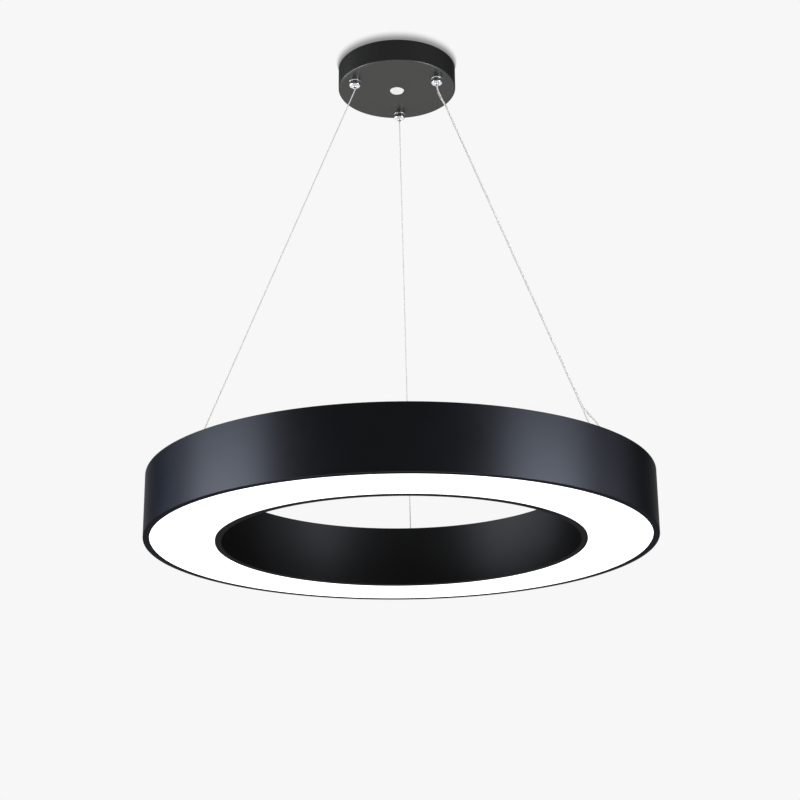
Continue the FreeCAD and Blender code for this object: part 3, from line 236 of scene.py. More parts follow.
# Points read from the smooth spline through a cord's control points.
def splinePoints(name, route, resolution):
    curve = bpy.data.curves.new(name, "CURVE")
    curve.dimensions = "3D"
    spline = curve.splines.new("NURBS")
    spline.points.add(len(route) - 1)
    spline.points.foreach_set("co", np.hstack([route, np.ones((len(route), 1))]).ravel())
    spline.order_u = 3
    spline.use_endpoint_u = True
    curve.resolution_u = resolution
    holder = bpy.data.objects.new(name, curve)
    line = bpy.data.meshes.new_from_object(holder)
    points = np.empty(len(line.vertices) * 3)
    line.vertices.foreach_get("co", points)
    bpy.data.objects.remove(holder)
    bpy.data.curves.remove(curve)
    bpy.data.meshes.remove(line)
    return points.reshape(-1, 3)


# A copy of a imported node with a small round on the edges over 40 degrees.
def roundedCopy(name, node, width):
    sharp = np.radians(40)
    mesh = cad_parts[node].data.copy()
    mesh.name = name
    mesh.materials.clear()
    tidyMesh(mesh, 10 * mergeWithin, flatten=0.01)
    mesh.shade_smooth()
    mesh.set_sharp_from_angle(angle=sharp)
    piece = linked(name, mesh)
    bevel = piece.modifiers.new("edgeRound", "BEVEL")
    bevel.width, bevel.segments = width, 2
    bevel.limit_method, bevel.angle_limit = "ANGLE", sharp
    bevel.harden_normals = True
    return piece


# A piece's finish, the body it moves with and the imported nodes it stands for. slotName, its slot in the
# record, is not used.
def settle(piece, material, body, slotName, *nodes):
    piece.data.materials.append(material)
    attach(piece, body)
    if nodes:
        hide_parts(*nodes)
    return piece


# A piece from grids. finish goes on to settle, here and in turnedPiece.
def build(name, grids, *finish, sharp=38, sheets=()):
    return settle(meshFromGrids(name, grids, sharp, sheets), *finish)


# Corners of an outline given in millimetres: radius, height and, where it has one, round.
def inMetres(corners):
    return [[value * mm for value in corner] for corner in corners]


# A turned piece, once at each spot.
def turnedPiece(name, look, spots, *finish):
    profile = filleted(inMetres(look["corners"]), steps=look.get("steps", 6))
    build(name, [turned(profile, spot, look["columns"]) for spot in spots], *finish)


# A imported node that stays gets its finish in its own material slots.
def dress(node, material):
    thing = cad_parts[node]
    if not thing.material_slots:
        thing.data.materials.append(material)
    for place in thing.material_slots:
        place.material = material


# Shader maths

# A socket that takes part in sums: each operator adds a Math node, and node() adds any other kind.
class Value:
    def __init__(self, tree, socket=None):
        self.tree = tree
        self.socket = socket

    def node(self, kind, settings=None, inputs=None, output=0):
        made = self.tree.nodes.new(kind)
        for name, setting in (settings or {}).items():
            setattr(made, name, setting)
        for name, value in (inputs or {}).items():
            if isinstance(value, Value):
                self.tree.links.new(value.socket, made.inputs[name])
            else:
                made.inputs[name].default_value = value
        return Value(self.tree, made.outputs[output])

    def sum(self, operation, first, second):
        return self.node("ShaderNodeMath", {"operation": operation}, {0: first, 1: second})

    def __add__(self, other):
        return self.sum("ADD", self, other)

    def __sub__(self, other):
        return self.sum("SUBTRACT", self, other)

    def __rsub__(self, other):
        return self.sum("SUBTRACT", other, self)

    def __mul__(self, other):
        return self.sum("MULTIPLY", self, other)

    def __truediv__(self, other):
        return self.sum("DIVIDE", self, other)

    __radd__, __rmul__ = __add__, __mul__


# Noise between 0 and 1 at a point; size is the width of its blotches in metres.
def noise(place, size, detail=2.0):
    return place.node("ShaderNodeTexNoise", None, {"Vector": place, "Scale": 1 / size, "Detail": detail})


# A place stretched along its axes, for grain that runs one way.
def stretched(place, scale):
    return place.node("ShaderNodeVectorMath", {"operation": "MULTIPLY"}, {0: place, 1: scale})


def fromAxis(place):
    return place.node("ShaderNodeVectorMath", {"operation": "LENGTH"}, {0: stretched(place, (1, 1, 0))},
                      "Value")


def alongWay(place, way):
    return place.node("ShaderNodeVectorMath", {"operation": "DOT_PRODUCT"}, {0: place, 1: way}, "Value")


# A value's smooth step between low and high, which goes from first to last.
def smoothRange(value, low, high, first=0.0, last=1.0):
    return value.node("ShaderNodeMapRange", {"interpolation_type": "SMOOTHSTEP"},
                      {"Value": value, "From Min": low, "From Max": high, "To Min": first, "To Max": last})


def blend(factor, first, second):
    return factor.node("ShaderNodeMix", {"data_type": "RGBA"},
                       {0: factor, 6: (*first, 1), 7: (*second, 1)}, 2)


def bump(height, strength, distance):
    return height.node("ShaderNodeBump", None,
                       {"Strength": strength, "Distance": distance, "Height": height})


# A material whose fixed sockets are set on the shader and whose varying ones come from vary(place).
def makeMaterial(name, fixed, vary):
    material = bpy.data.materials.new(name)
    material.use_nodes = True
    tree = material.node_tree
    shader = tree.nodes["Principled BSDF"]
    for socket, value in fixed.items():
        shader.inputs[socket].default_value = value
    place = Value(tree).node("ShaderNodeTexCoord", output="Object")
    for socket, value in vary(place).items():
        tree.links.new(value.socket, shader.inputs[socket])
    return material


# Finishes

paint = {
    "colour": (0.0405, 0.0425, 0.0490),
    "worn": (0.0465, 0.0485, 0.0550),
    "roughness": 0.36,
    "peel": 0.9 * mm,            # width of the coat's orange peel
    "grain": 0.22 * mm,
    "edgeTint": 0.32,
}
# The inner band's paint: a rougher coat, and a darker, more neutral copy of the colours as painted shade on
# the inner wall.
shadedInnerPaint = {**paint, "colour": (0.0375, 0.0375, 0.0390), "worn": (0.0425, 0.0425, 0.0440),
              "roughness": 0.43, "edgeTint": 0.35}        # the coat in the hole is a little duller
canopyPaint = {
    "colour": (0.118, 0.118, 0.115),
    "worn": (0.128, 0.128, 0.125),
    "roughness": 0.38,
    "peel": 0.8 * mm,
    "grain": 0.20 * mm,
    "edgeTint": 0.25,
}


# Black coat with metal pigment, whose reflection stays low towards the silhouette (edgeTint). It has two
# scales of bumps, a slow drift of its gloss and a faint drift of its depth of colour.
def powderCoat(name, look):
    def vary(place):
        peel = noise(place, look["peel"])
        grain = noise(place, look["grain"], 1.0)
        cloud = noise(place, 60 * mm, 3.0)
        return {"Base Color": blend(cloud, look["colour"], look["worn"]),
                "Roughness": look["roughness"] - 0.03 + cloud * 0.06 + grain * 0.02,
                "Normal": bump(peel * 0.7 + grain * 0.3, 0.10, 0.05 * mm)}
    return makeMaterial(name, {"Metallic": 1.0, "Specular Tint": (*[look["edgeTint"]] * 3, 1)}, vary)


# Plated or bare metal: clouds in its colour and, where it is drawn or brushed, fine lines along one axis.
# shine below 1 stands for a dull surface film.
def metal(name, light, dark, roughness, lines=(1, 1, 1), cloudSize=8 * mm, depth=0.06, shine=1.0):
    def vary(place):
        cloud = noise(place, cloudSize, 3.0)
        line = noise(stretched(place, lines), 0.3 * mm)
        return {"Base Color": blend(cloud * 0.6 + line * 0.4, light, dark),
                "Roughness": roughness + (cloud - 0.5) * 0.10 + (line - 0.5) * 0.08,
                "Normal": bump(line, depth, 0.03 * mm)}
    return makeMaterial(name, {"Metallic": shine}, vary)


# Moulded plastic: a spark-eroded grain and a slight drift of gloss.
def plastic(name, colour, shade, roughness, grain=0.25 * mm, fixed=None):
    def vary(place):
        fine = noise(place, grain)
        cloud = noise(place, 12 * mm)
        return {"Base Color": blend(cloud, colour, shade),
                "Roughness": roughness + (fine - 0.5) * 0.10 + (cloud - 0.5) * 0.06,
                "Normal": bump(fine, 0.08, 0.04 * mm)}
    return makeMaterial(name, fixed or {}, vary)


# Opal sheet lit from behind: an even glow, a touch dimmer near the two lips, over a satin face.
def opal(name, innerEdge, outerEdge):
    def vary(place):
        radius = fromAxis(place)
        edge = radius.sum("MINIMUM", radius - innerEdge, outerEdge - radius)
        depth = smoothRange(edge, 0.0, 9 * mm, 0.9)
        cloud = noise(place, 40 * mm)
        return {"Base Color": blend(cloud, (0.90, 0.90, 0.89), (0.93, 0.93, 0.92)),
                "Roughness": 0.38 + cloud * 0.08,
                "Emission Color": blend(depth - cloud * 0.03, (0.80, 0.82, 0.86), (1.0, 1.0, 1.0))}
    return makeMaterial(name, {"Emission Strength": 1.25}, vary)


# Board with white solder mask: copper lands under the mask show as a faint relief in rings.
def solderMask(name):
    def vary(place):
        rings = place.node("ShaderNodeTexWave", {"wave_type": "RINGS", "rings_direction": "Z"},
                           {"Vector": place, "Scale": 1 / (60 * mm)})
        return {"Base Color": blend(rings, (0.80, 0.81, 0.80), (0.88, 0.89, 0.88)),
                "Roughness": 0.34 + noise(place, 5 * mm) * 0.12,
                "Normal": bump(rings, 0.2, 0.05 * mm)}
    return makeMaterial(name, {}, vary)


# Phosphor of an LED chip: yellow silicone with a soft grain.
def phosphor(name):
    def vary(place):
        grain = noise(place, 0.3 * mm)
        return {"Base Color": blend(grain, (0.93, 0.72, 0.16), (0.97, 0.84, 0.34)),
                "Roughness": 0.25 + grain * 0.2}
    return makeMaterial(name, {}, vary)


paintedAluminium = powderCoat("blackPaintOnAluminium", paint)
shadedInnerAluminium = powderCoat("blackPaintInHoleShaded", shadedInnerPaint)
paintedSteel = powderCoat("blackPaintOnSteel", canopyPaint)
zincPlate = metal("zincPlate", (0.56, 0.57, 0.57), (0.68, 0.69, 0.67), 0.34)
bareAluminium = metal("millAluminium", (0.72, 0.73, 0.74), (0.82, 0.83, 0.84), 0.36, (1, 14, 14))
chromePlate = metal("chromePlate", (0.86, 0.87, 0.88), (0.91, 0.92, 0.93), 0.11, depth=0.01)
springWire = metal("springWire", (0.55, 0.55, 0.56), (0.70, 0.70, 0.71), 0.28)
ropeWire = metal("ropeWire", (0.62, 0.60, 0.57), (0.72, 0.70, 0.66), 0.48, cloudSize=3 * mm, shine=0.2)
brassMetal = metal("brass", (0.78, 0.56, 0.24), (0.88, 0.69, 0.36), 0.27)
tinnedCore = metal("tinnedCore", (0.86, 0.85, 0.83), (0.92, 0.91, 0.89), 0.45, shine=0.1)
whitePlastic = plastic("whitePlastic", (0.86, 0.86, 0.84), (0.90, 0.90, 0.88), 0.36)
blockPlastic = plastic("blockPlastic", (0.80, 0.79, 0.75), (0.84, 0.83, 0.79), 0.46)
blackPlastic = plastic("blackPlastic", (0.018, 0.018, 0.019), (0.026, 0.026, 0.027), 0.42)
blackRubber = plastic("blackRubber", (0.016, 0.016, 0.016), (0.026, 0.026, 0.026), 0.62, 0.4 * mm)
clearSheath = plastic("clearSheath", (0.96, 0.96, 0.95), (0.98, 0.98, 0.97), 0.12, 0.6 * mm,
                      {"Transmission Weight": 0.97, "IOR": 1.34})
boardMask = solderMask("whiteSolderMask")
chipPhosphor = phosphor("chipPhosphor")
print("finishes made")


# Camera at the photograph's viewing angle, below the ring and looking up

view = {
    "lens": 76.5,               # mm
    "sensor": 36,               # mm
    "turn": 0.048,              # radians round the lamp's axis
    "distance": 1.9977,         # to the middle of the ring's underside
    "rise": 0.2463,             # radians from the camera up to that point
    "pitch": 0.3313,            # radians the camera looks up
    "roll": -0.0098,
}
cameraSide = -90 + np.degrees(view["turn"])        # its azimuth


def makeCamera():
    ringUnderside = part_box("outer_band")[0][2]
    level, drop = view["distance"] * np.cos(view["rise"]), view["distance"] * np.sin(view["rise"])
    lens = bpy.data.cameras.new("photoCamera")
    lens.lens, lens.sensor_width, lens.sensor_fit = view["lens"], view["sensor"], "HORIZONTAL"
    camera = linked("photoCamera", lens)
    camera.matrix_world = (Matrix.Translation(polar(level, cameraSide, ringUnderside - drop))
                           @ Matrix.Rotation(view["turn"], 4, "Z")
                           @ Matrix.Rotation(np.pi / 2 + view["pitch"], 4, "X")
                           @ Matrix.Rotation(view["roll"], 4, "Z"))
    bpy.context.scene.camera = camera


makeCamera()
print("camera placed")


# Suspension wires: steel rope of six packed strands laid round a straight one

rope = {
    "diameter": 1.5 * mm,
    "strand": 0.5 * mm,         # diameter of one strand
    "valley": 0.655 * mm,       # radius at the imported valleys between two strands
    "lay": 9 * mm,              # length of one turn of a strand
    "step": 0.7 * mm,           # spacing of the rows along the rope
    "columns": 36,
    "smooth": 16,               # points read from the route between two of its own
    "length": 0.543,
}
# Radius and height, in metres, of a wire's ends, with its two bends between them
wireMouth, wireUpperBend, wireLowerBend, wireAnchor = np.array([
    (0.060, -0.0425), (0.060, -0.04441), (0.258, -0.54609), (0.258, -0.548)])


# The route has two more points on the long run, as far from the bends as the mouth is from the upper one.
def wireRoute(degrees):
    run = wireLowerBend - wireUpperBend
    lead = run / np.linalg.norm(run) * (wireMouth[1] - wireUpperBend[1])
    stations = [wireMouth, wireUpperBend, wireUpperBend + lead,
                wireLowerBend - lead, wireLowerBend, wireAnchor]
    return np.array([polar(radius, degrees, height) for radius, height in stations])


# The rope's outline is offset * cos(a) + sqrt(strandRadius ^ 2 - (offset * sin(a)) ^ 2), with a the angle
# to the nearest strand's middle, and at least the valley's radius. It turns once in a lay.
def ropePiece(name, path, sideways, *finish):
    middle, along = evenly(path, rope["step"])
    strandRadius = rope["strand"] / 2
    offset = rope["diameter"] / 2 - strandRadius
    fromStrand = (fullTurn(rope["columns"]) + np.pi / 6) % (np.pi / 3) - np.pi / 6
    beside = strandRadius ** 2 - (offset * np.sin(fromStrand)) ** 2
    outline = offset * np.cos(fromStrand) + np.sqrt(np.maximum(beside, 0))
    radius = np.maximum(outline, rope["valley"])
    turn = 2 * np.pi * along / rope["lay"]
    tube = tubeAlong(middle, *framesAlong(middle, sideways), radius, rope["columns"], turn)
    return build(name, [tube], *finish, sharp=60)


for side, degrees in sides.items():
    wireLine = splinePoints(f"wireLine_{side}", wireRoute(degrees), rope["smooth"])
    wire = ropePiece(f"suspensionRope_{side}", wireLine, polar(1, degrees + 90), ropeWire, "canopy",
                     "wire_steel", f"suspension_wire_{side}")
    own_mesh(wire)
print("wires laid")


# Power cable: a clear sheath with two tinned cores, beside the right wire

cable = {
    "diameter": 2.4 * mm,
    "core": 0.5 * mm,           # diameter of one core
    "coreApart": 0.9 * mm,
    "coreLay": 120 * mm,
    "step": 1.6 * mm,
    "columns": 20,
    "coreColumns": 10,
    "smooth": 24,
    "length": 0.562,
}
# Outwards, sideways and up in the right wire's own frame, in metres
cableRoute = np.array([
    (0.054, 0.0104, -0.031), (0.054, 0.0104, -0.045), (0.06918, 0.0023, -0.06767),
    (0.07799, 0.0023, -0.09), (0.2328, 0.0023, -0.48225), (0.24332, 0.0023, -0.50888),
    (0.258, 0.018, -0.529), (0.258, 0.018, -0.547)])

cableLine = splinePoints("cableLine", inSideFrame(cableRoute, sides["right"]), cable["smooth"])
cableMiddle, cableAlong = evenly(cableLine, cable["step"])
cableFrames = framesAlong(cableMiddle, polar(1, sides["right"] + 90))
sheathGrid = tubeAlong(cableMiddle, *cableFrames, cable["diameter"] / 2, cable["columns"])
sheath = build("powerCableSheath", [sheathGrid], clearSheath, "canopy", "clear_cable", "power_cable")
coreGrids = []
for coreTurn in (0, np.pi):
    phase = (2 * np.pi * cableAlong / cable["coreLay"] + coreTurn)[:, None]
    coreSide = cableFrames[0] * np.cos(phase) + cableFrames[1] * np.sin(phase)
    coreLine = cableMiddle + cable["coreApart"] / 2 * coreSide
    coreGrids.append(tubeAlong(coreLine, *cableFrames, cable["core"] / 2, cable["coreColumns"]))
cores = build("powerCableCores", coreGrids, tinnedCore, "canopy", "clear_cable")
for part in (sheath, cores):
    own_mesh(part)
print("power cable laid")


# Ring: two painted bands with turned-in lips, the glowing sheet between them and the cover on top

ringLow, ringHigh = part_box("outer_band")
ring = {
    "outer": ringHigh[0],
    "bottom": ringLow[2],
    "height": ringHigh[2] - ringLow[2],
    "wall": 1.5 * mm,
    "lip": 7.5 * mm,
    "lipSheet": 2 * mm,
    "edge": 0.8 * mm,           # round of the band's lower edge
    "topEdge": 0.45 * mm,
    "lipEdge": 0.5 * mm,        # round of the lip's edge that shows
    "bend": 0.4 * mm,           # round inside, between lip and wall
    "small": 0.3 * mm,          # round of the corners that don't show
    "columns": 512,
}
ring["hole"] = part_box("inner_band")[1][0] - ring["lip"]
ringFoot = (0, 0, ring["bottom"])
ringTop = ring["bottom"] + ring["height"]
diffuserSheet = {
    "gap": 0.8 * mm,            # shadow gap to the lips
    "recess": 0.4 * mm,
    "seat": 4 * mm,
    "edgeSheet": 1.5 * mm,
    "round": 0.35 * mm,
}
cover = {
    "gap": 0.3 * mm,
    "sheet": 1.5 * mm,
    "rim": 1 * mm,
    "lowRound": 0.2 * mm,
    "topRound": 0.4 * mm,
    "shankColumns": 48,
    "screwColumns": 32,
}
# Corners of turned outlines, here and below: radius, height and round in millimetres
coverScrew = {
    "inset": 15.5 * mm,         # from the ring's two faces
    "hole": 2 * mm,
    "radius": 3.8 * mm,
    "height": 2.2 * mm,
    "domeDrop": 0.72,           # share of the height that the dome falls towards its rim
    "rings": (22, 12),          # rows of the grid over the recess and outside it
    "recess": (4.2 * mm, 1.05 * mm, 1.1 * mm),        # length, width and depth
    "recessSoft": 0.16 * mm,
    "columns": 72,
    "shankCorners": [(0, 0.02), (2, 0.02), (2, -7, 0.3), (0, -7)],
    "shankColumns": 32,
}
anchor = {
    "place": 258 * mm,          # from the lamp's axis
    "hole": 4 * mm,
    "corners": [(1, 7, 0.3), (2.6, 7, 0.7), (3.5, 4.2, 2.2), (7, 2.3, 0.6), (7, 0, 0.2), (4, 0),
                (4, -11, 0.4), (2.8, -11), (2.8, -3), (1, -3)],
    "columns": 72,
}
gland = {
    "beside": 18 * mm,          # the right anchor
    "hole": 4 * mm,
    "corners": [(1.35, 8, 0.2), (2.6, 8, 0.6), (4, 2.4, 0.8), (6.5, 2, 0.5), (6.5, 0, 0.1), (4, 0), (4, -9),
                (1.35, -9)],
    "ribs": 20,
    "ribDepth": 0.22 * mm,
    "ribFrom": 5.6 * mm,        # radius where the ribs begin
    "ribSoft": 0.5 * mm,
    "columns": 160,
}
anchorSpots = [polar(anchor["place"], degrees, ringTop) for degrees in sides.values()]
glandSpot = inSideFrame(np.array([[anchor["place"], gland["beside"], ringTop]]), sides["right"])[0]
coverScrewSpots = [polar(radius, degrees, ringTop) for degrees in (30, 150, 270)
                   for radius in (ring["hole"] + coverScrew["inset"], ring["outer"] - coverScrew["inset"])]


# face is a band's visible radius; inwards is -1 where the lip points to the axis, 1 where away from it.
def makeBand(name, face, inwards, finish, node):
    wall, lip, sheet = face + inwards * ring["wall"], face + inwards * ring["lip"], ring["lipSheet"]
    profile = filleted([
        (face, 0, ring["edge"]), (face, ring["height"], ring["topEdge"]),
        (wall, ring["height"], ring["small"]), (wall, sheet, ring["bend"]), (lip, sheet, ring["small"]),
        (lip, 0, ring["lipEdge"])])
    build(name, [turned(profile, ringFoot, ring["columns"])], finish, "ring", "black_painted_aluminium", node)


def makeDiffuser():
    innerLip, outerLip = ring["hole"] + ring["lip"], ring["outer"] - ring["lip"]
    gap, seat, bend = diffuserSheet["gap"], diffuserSheet["seat"], diffuserSheet["round"]
    low, middle, small = diffuserSheet["recess"], ring["lipSheet"], ring["small"]
    high = middle + diffuserSheet["edgeSheet"]
    profile = filleted([
        (innerLip + gap, low, bend), (outerLip - gap, low, bend), (outerLip - gap, middle, small),
        (outerLip + seat, middle, small), (outerLip + seat, high, small), (innerLip - seat, high, small),
        (innerLip - seat, middle, small), (innerLip + gap, middle, small)])
    build("opalDiffuser", [turned(profile, ringFoot, ring["columns"])],
          opal("opalAcrylic", innerLip + gap, outerLip - gap), "ring", "opal_acrylic", "diffuser")


def makeCover():
    inner = ring["hole"] + ring["wall"] + cover["gap"]
    outer = ring["outer"] - ring["wall"] - cover["gap"]
    grids = []
    for edge, inwards in ((inner, 1), (outer, -1)):
        flat = edge + inwards * cover["rim"]
        profile = filleted([(flat, -cover["sheet"]), (edge, -cover["sheet"], cover["lowRound"]),
                            (edge, 0, cover["topRound"]), (flat, 0)], False)
        grids.append(turned(profile, (0, 0, ringTop), ring["columns"], False))
    holes = [((0, 0), inner + cover["rim"], ring["columns"])]
    holes += [(spot, anchor["hole"], cover["shankColumns"]) for spot in anchorSpots]
    holes.append((glandSpot, gland["hole"], cover["shankColumns"]))
    holes += [(spot, coverScrew["hole"], cover["screwColumns"]) for spot in coverScrewSpots]
    underside = ringTop - cover["sheet"]
    grids += [holeWall(hole, underside, ringTop) for hole in holes[1:]]
    outline = circle((0, 0), outer - cover["rim"], ring["columns"])
    sheets = [pierced(outline, holes, height) for height in (underside, ringTop)]
    build("topCover", grids, paintedAluminium, "ring", "black_painted_aluminium", "top_cover", sheets=sheets)


makeBand("outerBand", ring["outer"], -1, paintedAluminium, "outer_band")
makeBand("innerBand", ring["hole"], 1, shadedInnerAluminium, "inner_band")
makeDiffuser()
makeCover()
print("ring bands, diffuser and cover made")


# Cover screws

# A pan head on a polar grid: a dome height * (1 - domeDrop * (r / radius) ^ 5), less a cross-shaped recess
# whose depth is a smooth step across each arm's width and length. The rim runs down to the head's seat.
def panHead(spot):
    length, width, depth = coverScrew["recess"]
    inner, outer = coverScrew["rings"]
    share = np.concatenate([[0], np.linspace(0.04, 0.66, inner), np.linspace(0.7, 1, outer)])[:, None]
    dome = coverScrew["height"] * (1 - coverScrew["domeDrop"] * share ** 5)
    top = roundGrid(share * coverScrew["radius"], fullTurn(coverScrew["columns"])[None, :], dome)
    x, y = abs(top[..., 0]), abs(top[..., 1])

    def within(reach, apart):
        return smoothStep((reach / 2 - apart) / coverScrew["recessSoft"] + 0.5)

    cross = np.maximum(within(width, x) * within(length, y), within(width, y) * within(length, x))
    top[..., 2] -= depth * cross
    rim = top[-1:] * (1, 1, 0)
    return np.concatenate([top, rim, 0 * rim]) + spot, False, True


def makeCoverScrews():
    shank = filleted(inMetres(coverScrew["shankCorners"]), False)
    grids = []
    for spot in coverScrewSpots:
        grids += [panHead(spot), turned(shank, spot, coverScrew["shankColumns"], False)]
    build("coverScrews", grids, paintedSteel, "ring", "black_painted_steel", "cover_screws", sharp=50)


makeCoverScrews()
print("cover screws made")


# Wire anchors and cable gland on the cover

# The gland's flange is ribbed for the fingers: its radius is less by ribDepth * (1 + cos(ribs * angle)) / 2.
def makeGland():
    grid, closeRows, closeColumns = turned(filleted(inMetres(gland["corners"])), (0, 0, 0), gland["columns"])
    radius, angle = np.linalg.norm(grid[..., :2], axis=-1), np.arctan2(grid[..., 1], grid[..., 0])
    ribbed = smoothStep((radius - gland["ribFrom"]) / gland["ribSoft"])
    rib = ribbed * gland["ribDepth"] * (1 + np.cos(gland["ribs"] * angle)) / 2
    grid[..., :2] *= (1 - rib / np.maximum(radius, mm))[..., None]
    build("cableGland", [(grid + glandSpot, closeRows, closeColumns)], blackPlastic, "ring",
          "black_plastic", "cable_gland")


turnedPiece("wireAnchors", anchor, anchorSpots, chromePlate, "ring", "chrome", "wire_anchors")
makeGland()
print("anchors and gland made")


# Canopy cup: drawn sheet with rounded lower edge and a sunk pocket at each side screw

canopyLow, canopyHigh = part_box("canopy_cup")
cup = {
    "radius": canopyHigh[0],
    "height": -canopyLow[2],
    "sheet": 1.2 * mm,
    "edge": 2.4 * mm,
    "rim": 0.4 * mm,
    "pocket": 2.2 * mm,         # radius of the hole round a side screw
    "pocketHeight": -8 * mm,
    "pocketDepth": 1.05 * mm,
    "pocketSoft": 0.3 * mm,
    "fine": 0.16 * mm,          # grid spacing round a pocket
    "fineReach": 3.6 * mm,
    "coarseColumns": 120,       # of half the wall
    "plugHole": 6 * mm,
    "bushHole": 2.4 * mm,
    "gripperHole": 5.2 * mm,
    "holeColumns": 64,
    "bushColumns": 40,
}
cupFoot = (0, 0, -cup["height"])
cupFloor = cup["sheet"] - cup["height"]        # the height of the floor's upper face
bushSpot = inSideFrame(np.array([[*cableRoute[0, :2], -cup["height"]]]), sides["right"])[0]


def canopyColumns():
    halfFine = cup["fineReach"] / cup["radius"]
    fine = np.arange(-halfFine, halfFine, cup["fine"] / cup["radius"])
    coarse = np.linspace(halfFine, np.pi - halfFine, cup["coarseColumns"], endpoint=False)
    return np.concatenate([fine, coarse, fine + np.pi, coarse + np.pi])[None, :]


def makeCanopy():
    face, edge, rim, low, reach = cup["radius"], cup["edge"], cup["rim"], -cup["height"], cup["fineReach"]
    flat, inside = face - 2 * edge, face - cup["sheet"]
    lower = filleted([(flat, low), (face, low, edge), (face, 0)], False, steps=10)[:-1]
    wallHeights = np.arange(cup["pocketHeight"] - reach, cup["pocketHeight"] + reach, cup["fine"])
    wall = np.stack([np.full(len(wallHeights), face), wallHeights], axis=1)
    upper = filleted([(face, wallHeights[-1] + mm), (face, 0, rim), (inside, 0, rim),
                      (inside, cupFloor, edge - cup["sheet"]), (flat, cupFloor)], False)
    profile = np.concatenate([lower, wall, upper])
    angle = canopyColumns()
    radius, height = profile[:, :1] + 0 * angle, profile[:, 1:] + 0 * angle
    onWall = (abs(radius - face) < 10 * mergeWithin) & (height < -rim)
    fromAxis = (angle + np.pi / 2) % np.pi - np.pi / 2
    apart = np.hypot(fromAxis * face, height - cup["pocketHeight"])
    sunk = smoothStep((cup["pocket"] - apart) / cup["pocketSoft"] + 0.5) * cup["pocketDepth"]
    grid = roundGrid(radius - np.where(onWall, sunk, 0), angle, height)
    holes = [((0, 0), cup["plugHole"], cup["holeColumns"]), (bushSpot, cup["bushHole"], cup["bushColumns"])]
    holes += [(polar(wireMouth[0], degrees), cup["gripperHole"], cup["holeColumns"])
              for degrees in sides.values()]
    outline = roundGrid(flat, angle[0], 0)[:, :2]
    sheets = [pierced(outline, holes, level) for level in (low, cupFloor)]
    grids = [(grid, False, True)] + [holeWall(hole, low, cupFloor) for hole in holes]
    build("canopyCup", grids, paintedSteel, "canopy", "black_painted_steel", "canopy_cup", sheets=sheets)


makeCanopy()
print("canopy cup made")


# White blanking plug: a shallow domed head, a collar in the hole and four snap legs

plug = {
    "headCorners": [(0, -1.6), (7.8, -1.6, 1.1), (9, -0.12, 0.15), (8.7, 0), (5.8, 0), (5.8, 0.96, 0.2),
                    (0, 0.96)],
    "legCorners": [(4.6, 0.5), (5.8, 0.5), (5.8, 1.4), (6.6, 1.5, 0.2), (5.4, 6.2, 0.3), (4.6, 6.2, 0.2)],
    "collar": 5.8 * mm,
    "slit": 1.6 * mm,           # between two legs
    "columns": 96,
    "legColumns": 16,
}


def makePlug():
    head, leg = filleted(inMetres(plug["headCorners"]), False), filleted(inMetres(plug["legCorners"]))
    grids = [turned(head, cupFoot, plug["columns"], False)]
    halfSlit = plug["slit"] / 2 / plug["collar"]
    for start in np.arange(4) * np.pi / 2:
        grids.append(turnedSector(leg, cupFoot, start + halfSlit, start + np.pi / 2 - halfSlit,
                                  plug["legColumns"]))
    build("blankingPlug", grids, whitePlastic, "canopy", "white_plastic", "centre_plug")


makePlug()
print("blanking plug made")


# Wire grippers: chromed barrel, threaded stem, return spring, nozzle with its ball cage

gripper = {
    "place": 60 * mm,           # from the lamp's axis
    "engage": 3 * mm,           # how far the stem reaches into the barrel
    "nozzleRound": 0.1 * mm,
}
barrel = {
    "corners": [(5.05, 0), (7, 0, 0.35), (7, -2.2, 0.15), (6.5, -2.7, 0.2), (7, -3.2, 0.15), (7, -9, 1.8),
                (2.05, -9, 0.25), (2.05, -7), (2.45, -7), (3.4, -3), (5.05, -3)],
    "steps": 8,
    "columns": 128,
}
stem = {
    "radius": 5 * mm, "rise": 9 * mm, "chamber": 3.2 * mm, "cap": 2 * mm, "wireBore": 1 * mm,
    "pitch": 1 * mm, "threadDepth": 0.32 * mm, "threadStep": 0.125 * mm, "runOut": 0.8 * mm, "columns": 56,
}
spring = {
    "wire": 0.28 * mm,          # radius
    "inner": 1.3 * mm,
    "outer": 2.2 * mm,
    "low": -31.5 * mm,
    "high": -23 * mm,
    "turns": 7,
    "climb": (0.82, 0.72),
    "steps": 24,                # rows in a turn
    "columns": 8,
}


# The stem's thread: radius less threadDepth * a triangle wave of (height / pitch - angle / 2 pi), which
# runs out to full depth at the top.
def makeStem(side, foot):
    rise, engage, bore, chamber = stem["rise"], gripper["engage"], stem["wireBore"], stem["chamber"]
    heights = np.arange(-engage, rise + 1e-9, stem["threadStep"])[:, None]
    angle = fullTurn(stem["columns"])[None, :]
    wave = abs((heights / stem["pitch"] - angle / (2 * np.pi)) % 1 - 0.5) * 2
    below = (rise - heights) / stem["runOut"]
    depth = np.minimum(1, below) * wave + np.maximum(0, 1 - below)
    capFoot = rise - stem["cap"]
    inside = np.array([(bore, rise), (bore, capFoot), (chamber, capFoot), (chamber, -engage)])
    radius = np.concatenate([stem["radius"] - stem["threadDepth"] * depth, inside[:, :1] + 0 * angle])
    height = np.concatenate([heights, inside[:, 1:]])
    build(f"gripperStem_{side}", [(roundGrid(radius, angle, height, foot), True, True)], chromePlate,
          "canopy", "chrome", f"gripper_stem_{side}", sharp=30)


